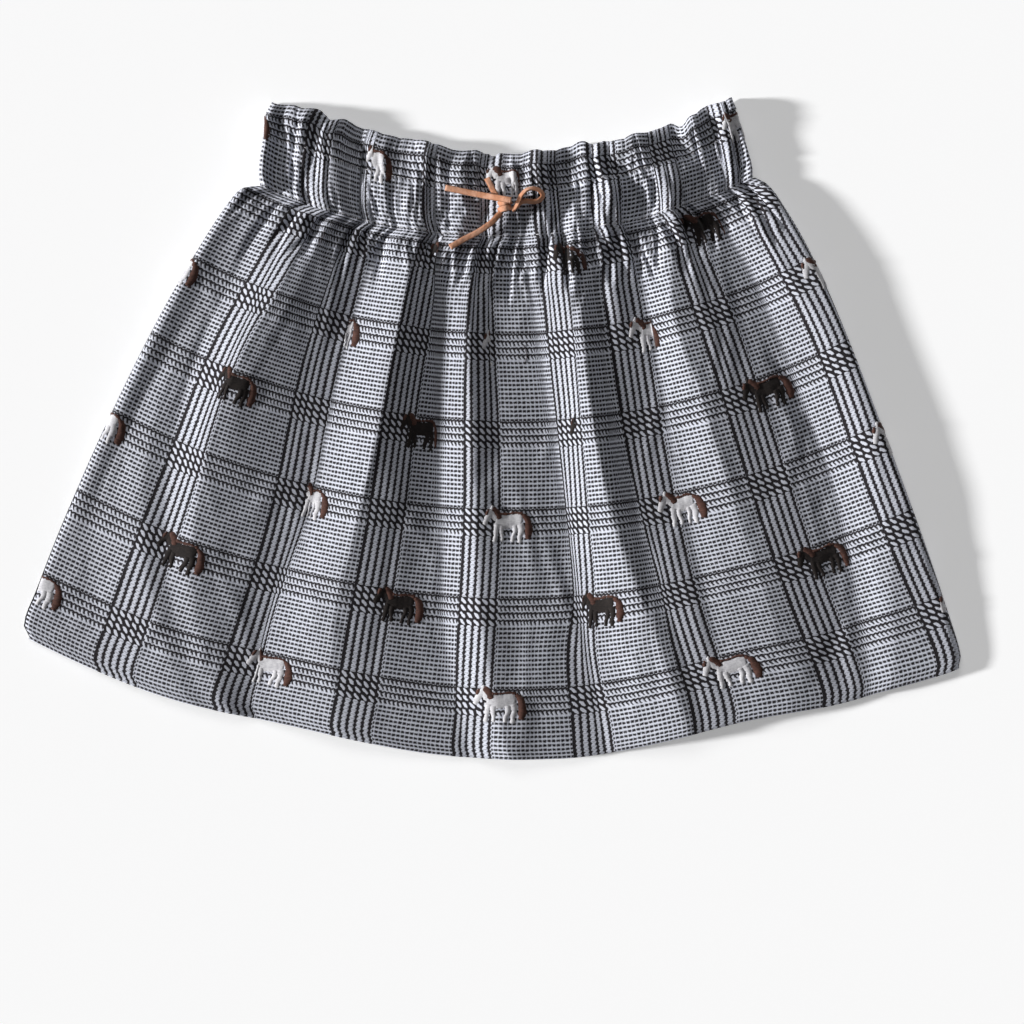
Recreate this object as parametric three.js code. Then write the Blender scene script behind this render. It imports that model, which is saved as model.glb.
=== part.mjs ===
// A girl's gathered skirt in a woven check, laid flat on a table with its front up.
// Millimetres, +Z up. X runs across the skirt, Y towards the waist, and the origin is
// under the middle of its outline, on the table.
//
// The cloth fans out from an apex above the waist, so a place on it is given by its
// radius from that apex and by its share of the way from the left side to the right.

import * as THREE from 'three';

// Cloth and clearances
const CLOTH = 1.5;              // one layer of the brushed check
const HEM_WALL = 2.4;           // cloth and its turned-up hem, pressed together
const SEAM_GAP = 0.3;           // between two pieces that are sewn to each other
const CASING_BACK = 4.4;        // back casing: two layers with the elastic between them
const CASING_FOLD = 6;          // depth of the rounded fold along the waist edge
const SIDE_ROLL = 9;            // width of the rounded turn along each side
const LEAST_WALL = 1.0;         // blunt edge where a fold closes

// Levels
const BACK_TOP = CLOTH;
const FRONT_FLOOR = BACK_TOP + SEAM_GAP;
const CASING_FLOOR = CASING_BACK + SEAM_GAP;

// The fan
const APEX = { x: 20.39, y: 379.22 };
const DEGREE = Math.PI / 180;

// Sections from the waist edge to the hem: radius at the middle, how much longer the
// radius is at the left side and shorter at the right, both sides as angles from
// straight down, and how high the cloth's face lies where no fold lifts it.
const CASING_SECTIONS = [
  { radius: 242.6, lean: 6.6, left: -31.2, right: 25.0, lift: 11.2 },
  { radius: 251.0, lean: 7.0, left: -31.0, right: 24.7, lift: 12.0 },
  { radius: 266.0, lean: 7.4, left: -29.8, right: 24.3, lift: 12.0 },
  { radius: 279.0, lean: 7.6, left: -28.7, right: 23.9, lift: 10.8 },
  { radius: 285.0, lean: 7.7, left: -27.8, right: 23.4, lift: 8.8 },
];
const PANEL_SECTIONS = [
  { radius: 285.0 + SEAM_GAP, lean: 7.7, left: -28.1, right: 23.7, lift: 8.8, wall: CLOTH },
  { radius: 290.0, lean: 7.5, left: -29.3, right: 24.5, lift: 10.0, wall: CLOTH },
  { radius: 298.0, lean: 7.2, left: -29.8, right: 25.0, lift: 10.4, wall: CLOTH },
  { radius: 325.0, lean: 6.8, left: -30.1, right: 25.5, lift: 8.4, wall: CLOTH },
  { radius: 365.0, lean: 6.2, left: -30.1, right: 25.4, lift: 6.2, wall: CLOTH },
  { radius: 425.0, lean: 5.2, left: -29.6, right: 24.8, lift: 4.9, wall: CLOTH },
  { radius: 485.0, lean: 4.2, left: -28.9, right: 24.2, lift: 4.5, wall: CLOTH },
  { radius: 520.0, lean: 3.6, left: -28.4, right: 23.8, lift: 4.8, wall: HEM_WALL },
  { radius: 540.0, lean: 2.0, left: -28.1, right: 23.5, lift: 4.8, wall: HEM_WALL },
  { radius: 545.4, lean: 1.6, left: -27.4, right: 23.1, lift: 4.6, wall: HEM_WALL },
];
const STITCHING = PANEL_SECTIONS[0].radius;
const HEM = PANEL_SECTIONS[PANEL_SECTIONS.length - 1].radius;

// Soft waves along both edges: place, rise towards the apex, half width as a share.
const HEADING_WAVES = [
  { at: 0.21, rise: 2.2, half: 0.13 },
  { at: 0.53, rise: -1.2, half: 0.04 },
  { at: 0.63, rise: 1.4, half: 0.05 },
  { at: 0.86, rise: 0.8, half: 0.03 },
];
const HEM_WAVES = [
  { at: 0.30, rise: 3.8, half: 0.18 },
  { at: 0.77, rise: 7.8, half: 0.20 },
  { at: 0.93, rise: 2.0, half: 0.08 },
];
const HEM_WAVE_START = 430;     // radius from which the hem's waves draw the cloth up
const HEADING_REACH = 0.6;      // share of the casing that the heading's waves move
const VALLEY_NICK = 0.35;       // how much a gather's valley also nicks the waist edge
const VALLEY_NICK_REACH = 0.4;  // share of the casing that the nick runs down

// Gathers: the valleys between the small rolls that the elastic makes. Each has its
// place at the waist edge and at the stitching, its depth on the casing, and how far it
// runs on below the stitching.
const GATHERS = [
  { top: 0.000, foot: 0.000, depth: 0.0, reach: 10 },
  { top: 0.010, foot: 0.028, depth: 1.4, reach: 14 },
  { top: 0.088, foot: 0.097, depth: 1.0, reach: 16 },
  { top: 0.125, foot: 0.152, depth: 4.6, reach: 46 },
  { top: 0.162, foot: 0.192, depth: 2.8, reach: 22 },
  { top: 0.194, foot: 0.214, depth: 4.0, reach: 26 },
  { top: 0.238, foot: 0.248, depth: 2.4, reach: 18 },
  { top: 0.275, foot: 0.272, depth: 3.4, reach: 24 },
  { top: 0.306, foot: 0.314, depth: 1.6, reach: 20 },
  { top: 0.344, foot: 0.346, depth: 4.6, reach: 42 },
  { top: 0.387, foot: 0.385, depth: 1.4, reach: 20 },
  { top: 0.426, foot: 0.420, depth: 3.2, reach: 26 },
  { top: 0.454, foot: 0.448, depth: 4.2, reach: 44 },
  { top: 0.476, foot: 0.476, depth: 2.0, reach: 18 },
  { top: 0.531, foot: 0.521, depth: 2.6, reach: 24 },
  { top: 0.576, foot: 0.566, depth: 3.6, reach: 30 },
  { top: 0.604, foot: 0.598, depth: 3.6, reach: 28 },
  { top: 0.659, foot: 0.648, depth: 2.0, reach: 20 },
  { top: 0.699, foot: 0.698, depth: 4.6, reach: 38 },
  { top: 0.749, foot: 0.730, depth: 3.0, reach: 26 },
  { top: 0.802, foot: 0.768, depth: 1.2, reach: 20 },
  { top: 0.869, foot: 0.828, depth: 4.4, reach: 32 },
  { top: 0.912, foot: 0.928, depth: 5.0, reach: 30 },
  { top: 0.980, foot: 0.965, depth: 2.2, reach: 18 },
  { top: 1.000, foot: 1.000, depth: 0.0, reach: 10 },
];
const ROLL_COLUMNS = [0, 0.10, 0.28, 0.50, 0.72, 0.90];   // where each roll is sampled
const ROLL_ROUNDNESS = 0.5;     // power of the sine that shapes a roll
const FULL_ROLL = 0.04;         // a roll this wide rises to full height
const CHANNEL = { at: 0.42, reach: 0.16, extra: 0.25 };   // upper stitching pulls valleys deeper

// Large folds that fall from the gathers. Each line is the crest or the foot of one, with
// its places across the cloth and the heights of the face there at these radii.
const STATIONS = [296, 330, 375, 430, 485, 546];
const FOLD_START = 30;          // length below the stitching in which the folds rise
const FLANK_SOFTNESS = 0.6;     // 0 for straight flanks, 1 for round ones
const FOLD_LINES = [
  { name: 'left edge', at: [0.012, 0.012, 0.012, 0.012, 0.015, 0.020],
    height: [10.5, 9.6, 8.4, 6.2, 4.6, 3.8] },
  { name: 'left edge foot', at: [0.040, 0.040, 0.036, 0.028, 0.036, 0.096],
    height: [9.0, 7.4, 5.6, 4.4, 4.0, 4.6] },
  { name: 'left crease', at: [0.055, 0.055, 0.050, 0.060, 0.105, 0.185],
    height: [8.6, 6.8, 5.6, 6.8, 8.4, 6.6] },
  { name: 'left overlap foot', at: [0.070, 0.070, 0.070, 0.090, 0.130, 0.205],
    height: [8.4, 6.2, 5.0, 5.8, 7.2, 6.3] },
  { name: 'left overlap', at: [0.153, 0.145, 0.130, 0.135, 0.160, 0.225],
    height: [14.5, 16.0, 15.5, 13.5, 9.5, 6.5] },
  { name: 'left roll foot', at: [0.256, 0.263, 0.266, 0.271, 0.251, 0.250],
    height: [6.0, 4.6, 4.0, 3.6, 3.6, 3.8] },
  { name: 'left roll', at: [0.334, 0.334, 0.334, 0.332, 0.322, 0.342],
    height: [14.0, 15.5, 15.5, 14.5, 12.0, 8.0] },
  { name: 'pleat foot', at: [0.373, 0.394, 0.412, 0.432, 0.446, 0.480],
    height: [7.5, 6.0, 4.8, 4.2, 3.8, 4.2] },
  { name: 'pleat', at: [0.417, 0.441, 0.458, 0.474, 0.489, 0.520],
    height: [10.5, 11.5, 11.5, 11.5, 10.5, 8.5] },
  { name: 'pleat far foot', at: [0.459, 0.473, 0.491, 0.514, 0.533, 0.563],
    height: [7.0, 7.0, 7.5, 7.8, 7.0, 6.2] },
  { name: 'shoulder foot', at: [0.532, 0.547, 0.568, 0.587, 0.602, 0.621],
    height: [5.8, 4.8, 4.0, 3.6, 3.6, 3.8] },
  { name: 'shoulder', at: [0.605, 0.617, 0.623, 0.642, 0.676, 0.707],
    height: [13.0, 14.5, 15.5, 15.5, 14.0, 10.0] },
  { name: 'streak foot', at: [0.647, 0.648, 0.648, 0.671, 0.701, 0.725],
    height: [8.5, 9.0, 10.0, 11.5, 11.5, 8.6] },
  { name: 'streak', at: [0.681, 0.669, 0.665, 0.696, 0.727, 0.741],
    height: [10.0, 9.8, 9.4, 10.0, 11.0, 8.3] },
  { name: 'slope foot', at: [0.726, 0.724, 0.726, 0.733, 0.745, 0.754],
    height: [6.0, 5.5, 5.4, 7.2, 9.6, 7.8] },
  { name: 'slope', at: [0.765, 0.761, 0.775, 0.791, 0.809, 0.815],
    height: [11.5, 13.5, 13.5, 12.5, 11.0, 8.0] },
  { name: 'side roll foot', at: [0.902, 0.900, 0.908, 0.918, 0.911, 0.901],
    height: [6.0, 4.4, 3.8, 3.6, 3.8, 4.0] },
  { name: 'side roll', at: [0.931, 0.948, 0.975, 0.975, 0.954, 0.923],
    height: [11.5, 13.0, 12.5, 12.5, 9.5, 5.5] },
];
const OVERHANG = 0.02;          // share by which the outermost lines reach past the sides

// Rows and columns of the cloth
const CASING_ROWS = [0, 0.05, 0.14, 0.30, 0.42, 0.56, 0.80, 1];
const PANEL_ROWS = [0, 0.02, 0.05, 0.10, 0.17, 0.27, 0.40, 0.55, 0.71, 0.87, 0.98, 1];
const BACK_ROWS = [0, 0.02, 0.05, 0.15, 0.31, 0.54, 0.77, 0.92, 0.98, 1];
const BACK_COLUMNS = 36;

// Leather lace of the bow
const LACE_WIDTH = 3.2;
const LACE_THICKNESS = 1.6;
const LACE_SIDES = 8;
const LACE_STEP = 2.5;          // length of one step along a lace
const KNOT = { x: 6.5, y: 109.7, z: 14.6, across: 5.6, along: 7.6, high: 4.6 };

const smooth = (t) => {
  const held = Math.min(Math.max(t, 0), 1);
  return held * held * (3 - 2 * held);
};
const quarterRound = (t) => {
  const rest = 1 - Math.min(Math.max(t, 0), 1);
  return Math.sqrt(1 - rest * rest);
};
const bump = (t) => smooth(1 - Math.abs(t));
const mix = (a, b, t) => a + (b - a) * t;

// A smooth curve through values that are known at rising places, read at one place.
function curveThrough(places, values, place) {
  const last = places.length - 1;
  const held = Math.min(Math.max(place, places[0]), places[last]);
  let k = 0;
  while (k < last - 1 && held > places[k + 1]) k += 1;
  const slopeAt = (n) => {
    const before = Math.max(n - 1, 0);
    const after = Math.min(n + 1, last);
    return (values[after] - values[before]) / (places[after] - places[before]);
  };
  const span = places[k + 1] - places[k];
  const t = (held - places[k]) / span;
  const eased = t * t * (3 - 2 * t);
  const start = t * (1 - t) * (1 - t) * span * slopeAt(k);
  const end = t * t * (t - 1) * span * slopeAt(k + 1);
  return mix(values[k], values[k + 1], eased) + start + end;
}

function sectionAt(sections, radius) {
  const places = sections.map((section) => section.radius);
  const read = (key) => curveThrough(places, sections.map((section) => section[key]), radius);
  return {
    radius,
    lean: read('lean'),
    left: read('left'),
    right: read('right'),
    lift: read('lift'),
    wall: sections[0].wall === undefined ? CLOTH : read('wall'),
  };
}

// Where a share of the way across a section lies in plan.
function planPoint(section, share, radialShift = 0) {
  const angle = mix(section.left, section.right, share) * DEGREE;
  const radius = section.radius + section.lean * (1 - 2 * share) + radialShift;
  return {
    x: APEX.x + radius * Math.sin(angle),
    y: APEX.y - radius * Math.cos(angle),
  };
}

function widthOf(section) {
  return (section.right - section.left) * DEGREE * section.radius;
}

// Where the valleys lie at a step down the casing, or at 1 on the panel.
const gatherPlaces = (step) => GATHERS.map((gather) => mix(gather.top, gather.foot, step));

// How far the gathers sink the face at a share: step runs from 0 at the waist edge to 1
// at the stitching, and below is the distance past the stitching.
function gatherDip(share, step, below = 0) {
  const places = gatherPlaces(step);
  let k = 0;
  while (k < GATHERS.length - 2 && share > places[k + 1]) k += 1;
  const [one, two] = [GATHERS[k], GATHERS[k + 1]];
  const width = places[k + 1] - places[k];
  const t = Math.min(Math.max((share - places[k]) / width, 0), 1);
  const faded = (gather) => gather.depth * (1 - smooth(below / gather.reach));
  const pulled = 1 + CHANNEL.extra * bump((step - CHANNEL.at) / CHANNEL.reach);
  const deep = mix(faded(one), faded(two), t) * pulled;
  const power = ROLL_ROUNDNESS + below / mix(one.reach, two.reach, t);
  const roll = Math.sin(Math.PI * t) ** power;
  const crown = Math.sqrt(Math.min(width / FULL_ROLL, 1));
  return deep * (1 - roll * crown);
}

// The face that the large folds make at a share, which starts level at the stitching.
function foldedFace(section, share) {
  const read = (key) => FOLD_LINES.map((line) => curveThrough(STATIONS, line[key], section.radius));
  const heights = read('height');
  const at = [-OVERHANG, ...read('at'), 1 + OVERHANG];
  const height = [heights[0], ...heights, heights[heights.length - 1]];
  let k = 0;
  while (k < at.length - 2 && share > at[k + 1]) k += 1;
  const t = (share - at[k]) / (at[k + 1] - at[k]);
  const folded = mix(height[k], height[k + 1], mix(t, smooth(t), FLANK_SOFTNESS));
  return mix(section.lift, folded, smooth((section.radius - STITCHING) / FOLD_START));
}

// The turn along both sides, 0 at the edge and 1 inside it.
function sideTurn(section, share) {
  const edge = Math.min(share, 1 - share) * widthOf(section);
  return quarterRound(edge / SIDE_ROLL);
}

function edgeWave(waves, share) {
  let rise = 0;
  for (const wave of waves) {
    rise += wave.rise * bump((share - wave.at) / wave.half);
  }
  return rise;
}

// The lower cloth is drawn up with the hem's waves.
function panelPoint(section, share) {
  const drawn = smooth((section.radius - HEM_WAVE_START) / (HEM - HEM_WAVE_START));
  return planPoint(section, share, -edgeWave(HEM_WAVES, share) * drawn);
}

// A closed wall between an upper and a lower skin, given as rows of points.
function wallBetween(upper, lower) {
  const rows = upper.length;
  const columns = upper[0].length;
  const points = [...upper.flat(), ...lower.flat()];
  const top = (r, c) => r * columns + c;
  const under = (r, c) => (rows + r) * columns + c;
  const faces = [];
  const quad = (a, b, c, d) => faces.push(a, b, c, a, c, d);
  for (let r = 0; r < rows - 1; r += 1) {
    for (let c = 0; c < columns - 1; c += 1) {
      quad(top(r, c), top(r + 1, c), top(r + 1, c + 1), top(r, c + 1));
      quad(under(r, c), under(r, c + 1), under(r + 1, c + 1), under(r + 1, c));
    }
    quad(under(r, 0), under(r + 1, 0), top(r + 1, 0), top(r, 0));
    quad(top(r, columns - 1), top(r + 1, columns - 1),
      under(r + 1, columns - 1), under(r, columns - 1));
  }
  for (let c = 0; c < columns - 1; c += 1) {
    quad(under(0, c), top(0, c), top(0, c + 1), under(0, c + 1));
    quad(top(rows - 1, c), under(rows - 1, c), under(rows - 1, c + 1), top(rows - 1, c + 1));
  }
  const geometry = new THREE.BufferGeometry();
  const flat = points.flatMap((point) => [point.x, point.y, point.z]);
  geometry.setAttribute('position', new THREE.Float32BufferAttribute(flat, 3));
  geometry.setIndex(faces);
  geometry.computeVertexNormals();
  return geometry;
}

// Columns that follow the gathers, so that every valley lies on one of them.
function gatherColumns(step) {
  const places = gatherPlaces(step);
  const shares = [];
  for (let k = 0; k < places.length - 1; k += 1) {
    for (const part of ROLL_COLUMNS) shares.push(mix(places[k], places[k + 1], part));
  }
  shares.push(1);
  return shares;
}

function evenColumns(count) {
  return Array.from({ length: count + 1 }, (_, k) => k / count);
}

function frontFace(section, share) {
  const full = foldedFace(section, share) - gatherDip(share, 1, section.radius - STITCHING);
  const edge = FRONT_FLOOR + section.wall;
  return Math.max(mix(edge, full, sideTurn(section, share)), edge);
}

function frontPanel() {
  const shares = gatherColumns(1);
  const upper = [];
  const lower = [];
  for (const step of PANEL_ROWS) {
    const section = sectionAt(PANEL_SECTIONS, mix(STITCHING, HEM, step));
    const heights = shares.map((share) => frontFace(section, share));
    const width = widthOf(section);
    upper.push(shares.map((share, k) => ({ ...panelPoint(section, share), z: heights[k] })));
    lower.push(shares.map((share, k) => {
      const before = Math.max(k - 1, 0);
      const after = Math.min(k + 1, shares.length - 1);
      const slope = (heights[after] - heights[before]) / ((shares[after] - shares[before]) * width);
      const under = heights[k] - section.wall * Math.hypot(1, slope);
      return { ...panelPoint(section, share), z: Math.max(under, FRONT_FLOOR) };
    }));
  }
  return wallBetween(upper, lower);
}

function backPanel() {
  const shares = evenColumns(BACK_COLUMNS);
  const upper = [];
  const lower = [];
  for (const step of BACK_ROWS) {
    const section = sectionAt(PANEL_SECTIONS, mix(STITCHING, HEM, step));
    upper.push(shares.map((share) => ({ ...panelPoint(section, share), z: BACK_TOP })));
    lower.push(shares.map((share) => ({ ...panelPoint(section, share), z: 0 })));
  }
  return wallBetween(upper, lower);
}

const CASING_TOP = CASING_SECTIONS[0].radius;
const CASING_FOOT = CASING_SECTIONS[CASING_SECTIONS.length - 1].radius;

// The waist edge rises and dips with the heading, and less so further down the casing.
function casingShift(step, share) {
  return -edgeWave(HEADING_WAVES, share) * (1 - smooth(step / HEADING_REACH));
}

function frontCasing() {
  const upper = [];
  const lower = [];
  for (const step of CASING_ROWS) {
    const shares = gatherColumns(step);
    const section = sectionAt(CASING_SECTIONS, mix(CASING_TOP, CASING_FOOT, step));
    const turned = quarterRound((section.radius - CASING_TOP) / CASING_FOLD);
    const nick = VALLEY_NICK * (1 - smooth(step / VALLEY_NICK_REACH));
    const place = (share) => planPoint(section, share,
      casingShift(step, share) + nick * gatherDip(share, step));
    const face = (share) => mix(CASING_FLOOR + LEAST_WALL, section.lift - gatherDip(share, step),
      sideTurn(section, share));
    const middle = (share) => mix(CASING_FLOOR, face(share), 0.5);
    upper.push(shares.map((share) => ({
      ...place(share),
      z: mix(middle(share) + LEAST_WALL / 2, face(share), turned),
    })));
    lower.push(shares.map((share) => ({
      ...place(share),
      z: mix(middle(share) - LEAST_WALL / 2, CASING_FLOOR, turned),
    })));
  }
  return wallBetween(upper, lower);
}

function backCasing() {
  const shares = evenColumns(BACK_COLUMNS);
  const upper = [];
  const lower = [];
  for (const step of CASING_ROWS) {
    const section = sectionAt(CASING_SECTIONS, mix(CASING_TOP, CASING_FOOT, step));
    const turned = quarterRound((section.radius - CASING_TOP) / CASING_FOLD);
    const place = (share) => planPoint(section, share, casingShift(step, share));
    const face = (share) => {
      const across = mix(CLOTH, CASING_BACK, sideTurn(section, share));
      return mix(CLOTH, across, turned);
    };
    upper.push(shares.map((share) => ({ ...place(share), z: face(share) })));
    lower.push(shares.map((share) => ({ ...place(share), z: 0 })));
  }
  return wallBetween(upper, lower);
}

// A flat lace with rounded edges along a smooth curve.
function lace(points) {
  const route = new THREE.CatmullRomCurve3(points.map(([across, along, z]) => (
    new THREE.Vector3(KNOT.x + across, KNOT.y + along, z))));
  const section = new THREE.Shape();
  for (let k = 0; k < LACE_SIDES; k += 1) {
    const turn = (k + 0.5) * 2 * Math.PI / LACE_SIDES;
    const x = LACE_THICKNESS / 2 * Math.cos(turn) / Math.cos(Math.PI / LACE_SIDES);
    const y = LACE_WIDTH / 2 * Math.sin(turn) / Math.cos(Math.PI / LACE_SIDES);
    if (k === 0) section.moveTo(x, y);
    else section.lineTo(x, y);
  }
  section.closePath();
  return new THREE.ExtrudeGeometry(section, {
    steps: Math.ceil(route.getLength() / LACE_STEP),
    extrudePath: route,
  });
}

// Routes of the lace, chosen by hand: across and along from the knot's middle, and the
// height over the table
const LOOP_ROUTE = [
  [3.4, -2.2, 15.3], [5.1, -0.9, 15.4], [6.5, 1.8, 15.5], [8.1, 5.2, 15.4],
  [10.6, 7.8, 15.0], [14.1, 8.7, 14.3], [17.3, 7.6, 13.6], [18.7, 5.4, 13.3],
  [17.3, 3.2, 13.2], [13.9, 2.2, 13.2], [10.5, 2.6, 13.2], [7.7, 2.0, 13.2],
  [5.5, -0.4, 13.2],
];
const STRIP_ROUTE = [
  [3.0, 2.4, 17.5], [-0.1, 3.0, 17.2], [-3.9, 3.8, 16.1], [-9.9, 5.0, 14.6],
  [-17.9, 6.7, 13.6], [-29.7, 9.2, 13.3],
];
const TAIL_ROUTE = [
  [-2.1, -3.0, 13.8], [-3.9, -5.1, 13.4], [-6.9, -8.2, 13.0], [-13.5, -12.7, 12.6],
  [-20.3, -16.2, 12.4], [-27.4, -20.3, 12.7],
];
const STUB_ROUTE = [
  [-3.3, 3.1, 13.4], [-5.1, 6.2, 13.2], [-7.1, 10.2, 13.2], [-9.1, 14.0, 13.2],
];

function knot() {
  const geometry = new THREE.SphereGeometry(0.5, 14, 10);
  geometry.rotateX(Math.PI / 2);
  geometry.scale(KNOT.across, KNOT.along, KNOT.high);
  geometry.translate(KNOT.x, KNOT.y, KNOT.z);
  return geometry;
}

const CHECK_CLOTH = { color: 0x8b8a8c, roughness: 0.95, metalness: 0 };
const TAN_LEATHER = { color: 0xc98a60, roughness: 0.7, metalness: 0 };

const skirt = new THREE.Group();
function add(name, geometry, finish) {
  const mesh = new THREE.Mesh(geometry, new THREE.MeshStandardMaterial(finish));
  mesh.name = name;
  skirt.add(mesh);
}

add('front_panel', frontPanel(), CHECK_CLOTH);
add('back_panel', backPanel(), CHECK_CLOTH);
add('front_casing', frontCasing(), CHECK_CLOTH);
add('back_casing', backCasing(), CHECK_CLOTH);
add('bow_knot', knot(), TAN_LEATHER);
add('bow_loop', lace(LOOP_ROUTE), TAN_LEATHER);
add('bow_strip', lace(STRIP_ROUTE), TAN_LEATHER);
add('bow_tail', lace(TAIL_ROUTE), TAN_LEATHER);
add('bow_stub', lace(STUB_ROUTE), TAN_LEATHER);

export default skirt;
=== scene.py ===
"""A child's gathered skirt in a glen check, laid flat with its front up.

Sizes are in millimetres and are turned into metres where a mesh is made. X runs across
the skirt, Y towards the waist and Z up off the table. The cloth fans out from an apex
above the waist, so a place on it is given by its radius from that apex and by its share
of the way from the left side to the right.
"""

import logging
import math
from dataclasses import dataclass, field
from enum import Enum
from typing import Sequence

import bpy
import numpy as np
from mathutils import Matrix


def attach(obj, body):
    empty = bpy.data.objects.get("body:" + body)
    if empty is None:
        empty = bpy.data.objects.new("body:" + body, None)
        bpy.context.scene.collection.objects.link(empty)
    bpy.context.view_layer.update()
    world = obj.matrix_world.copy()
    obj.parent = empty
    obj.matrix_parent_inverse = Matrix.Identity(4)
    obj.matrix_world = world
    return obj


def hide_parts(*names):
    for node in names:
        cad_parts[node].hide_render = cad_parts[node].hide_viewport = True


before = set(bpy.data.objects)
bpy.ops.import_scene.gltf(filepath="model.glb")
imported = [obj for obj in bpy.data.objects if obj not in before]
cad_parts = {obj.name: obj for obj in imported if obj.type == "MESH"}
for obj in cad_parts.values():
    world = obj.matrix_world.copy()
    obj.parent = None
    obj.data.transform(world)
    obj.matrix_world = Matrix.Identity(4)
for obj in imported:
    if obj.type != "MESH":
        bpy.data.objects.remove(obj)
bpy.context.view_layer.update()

LOG = logging.getLogger("skirt")
MM = 0.001
ROOT = "root"
DEGREE = math.pi / 180
REPEAT_ACROSS = 62.6
REPEAT_ALONG = 44.0
PAST_EDGE = 0.02
RIDGE_POWER = 0.7
RIBBON_EDGE_POWER = 0.55
RIBBON_FACE_POWER = 0.7

# A mark is a middle, a half width and a softness. A spot of a stroke is x, y and a half
# width. A bend of a route is x, y, a height and a tilt.
Pair = tuple[float, float]
Mark = tuple[float, float, float]
Spot = tuple[float, float, float]
Bend = tuple[float, float, float, float]
Colour = tuple[float, float, float, float]
Socket = bpy.types.NodeSocket


def smooth(t: np.ndarray | float) -> np.ndarray | float:
    """Ease from 0 to 1, held outside."""
    held = np.clip(t, 0.0, 1.0)
    return held * held * (3 - 2 * held)


def quarter_round(t: np.ndarray | float) -> np.ndarray | float:
    """Rise like a quarter circle from 0 to 1, held outside."""
    rest = 1 - np.clip(t, 0.0, 1.0)
    return np.sqrt(1 - rest * rest)


def mix(a: np.ndarray | float, b: np.ndarray | float, t: np.ndarray | float) -> np.ndarray | float:
    """Blend from a to b."""
    return a + (b - a) * t


def curve_through(places: Sequence[float], values: Sequence[float], place: float) -> float:
    """Read a smooth curve through values known at rising places.

    Args:
        places: Where the values are known, rising.
        values: The value at each place.
        place: Where the curve is read.

    Returns:
        The curve's value there, held at both ends.
    """
    last = len(places) - 1
    held = min(max(place, places[0]), places[last])
    k = 0
    while k < last - 1 and held > places[k + 1]:
        k += 1

    def slope(n: int) -> float:
        """Give the curve's slope at one of the known places."""
        before, after = max(n - 1, 0), min(n + 1, last)
        return (values[after] - values[before]) / (places[after] - places[before])

    span = places[k + 1] - places[k]
    t = (held - places[k]) / span
    start = t * (1 - t) ** 2 * span * slope(k)
    end = t * t * (t - 1) * span * slope(k + 1)
    return mix(values[k], values[k + 1], t * t * (3 - 2 * t)) + start + end


@dataclass(frozen=True)
class Section:
    """One line across the cloth: its radius, lean, sides in degrees, and the face's height."""

    radius: float
    lean: float
    left: float
    right: float
    lift: float


@dataclass(frozen=True)
class Wave:
    """A soft wave along an edge: its place, rise towards the apex, and half width."""

    at: float
    rise: float
    half: float


@dataclass(frozen=True)
class Gather:
    """A valley between two small rolls.

    It has its places at the waist edge and at the stitching, its depth, and its reach below.
    """

    top: float
    foot: float
    depth: float
    reach: float


@dataclass(frozen=True)
class Line:
    """The crest or the foot of a large fold: its places and face heights at the stations."""

    name: str
    at: tuple[float, ...]
    height: tuple[float, ...]


def wave_rise(waves: Sequence[Wave], share: np.ndarray) -> np.ndarray:
    """Add up how far an edge's waves rise towards the apex.

    Args:
        waves: The edge's waves.
        share: Shares of the way across.

    Returns:
        The rise at each share.
    """
    rise = np.zeros_like(share)
    for wave in waves:
        rise += wave.rise * smooth(1 - np.abs(share - wave.at) / wave.half)
    return rise


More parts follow.
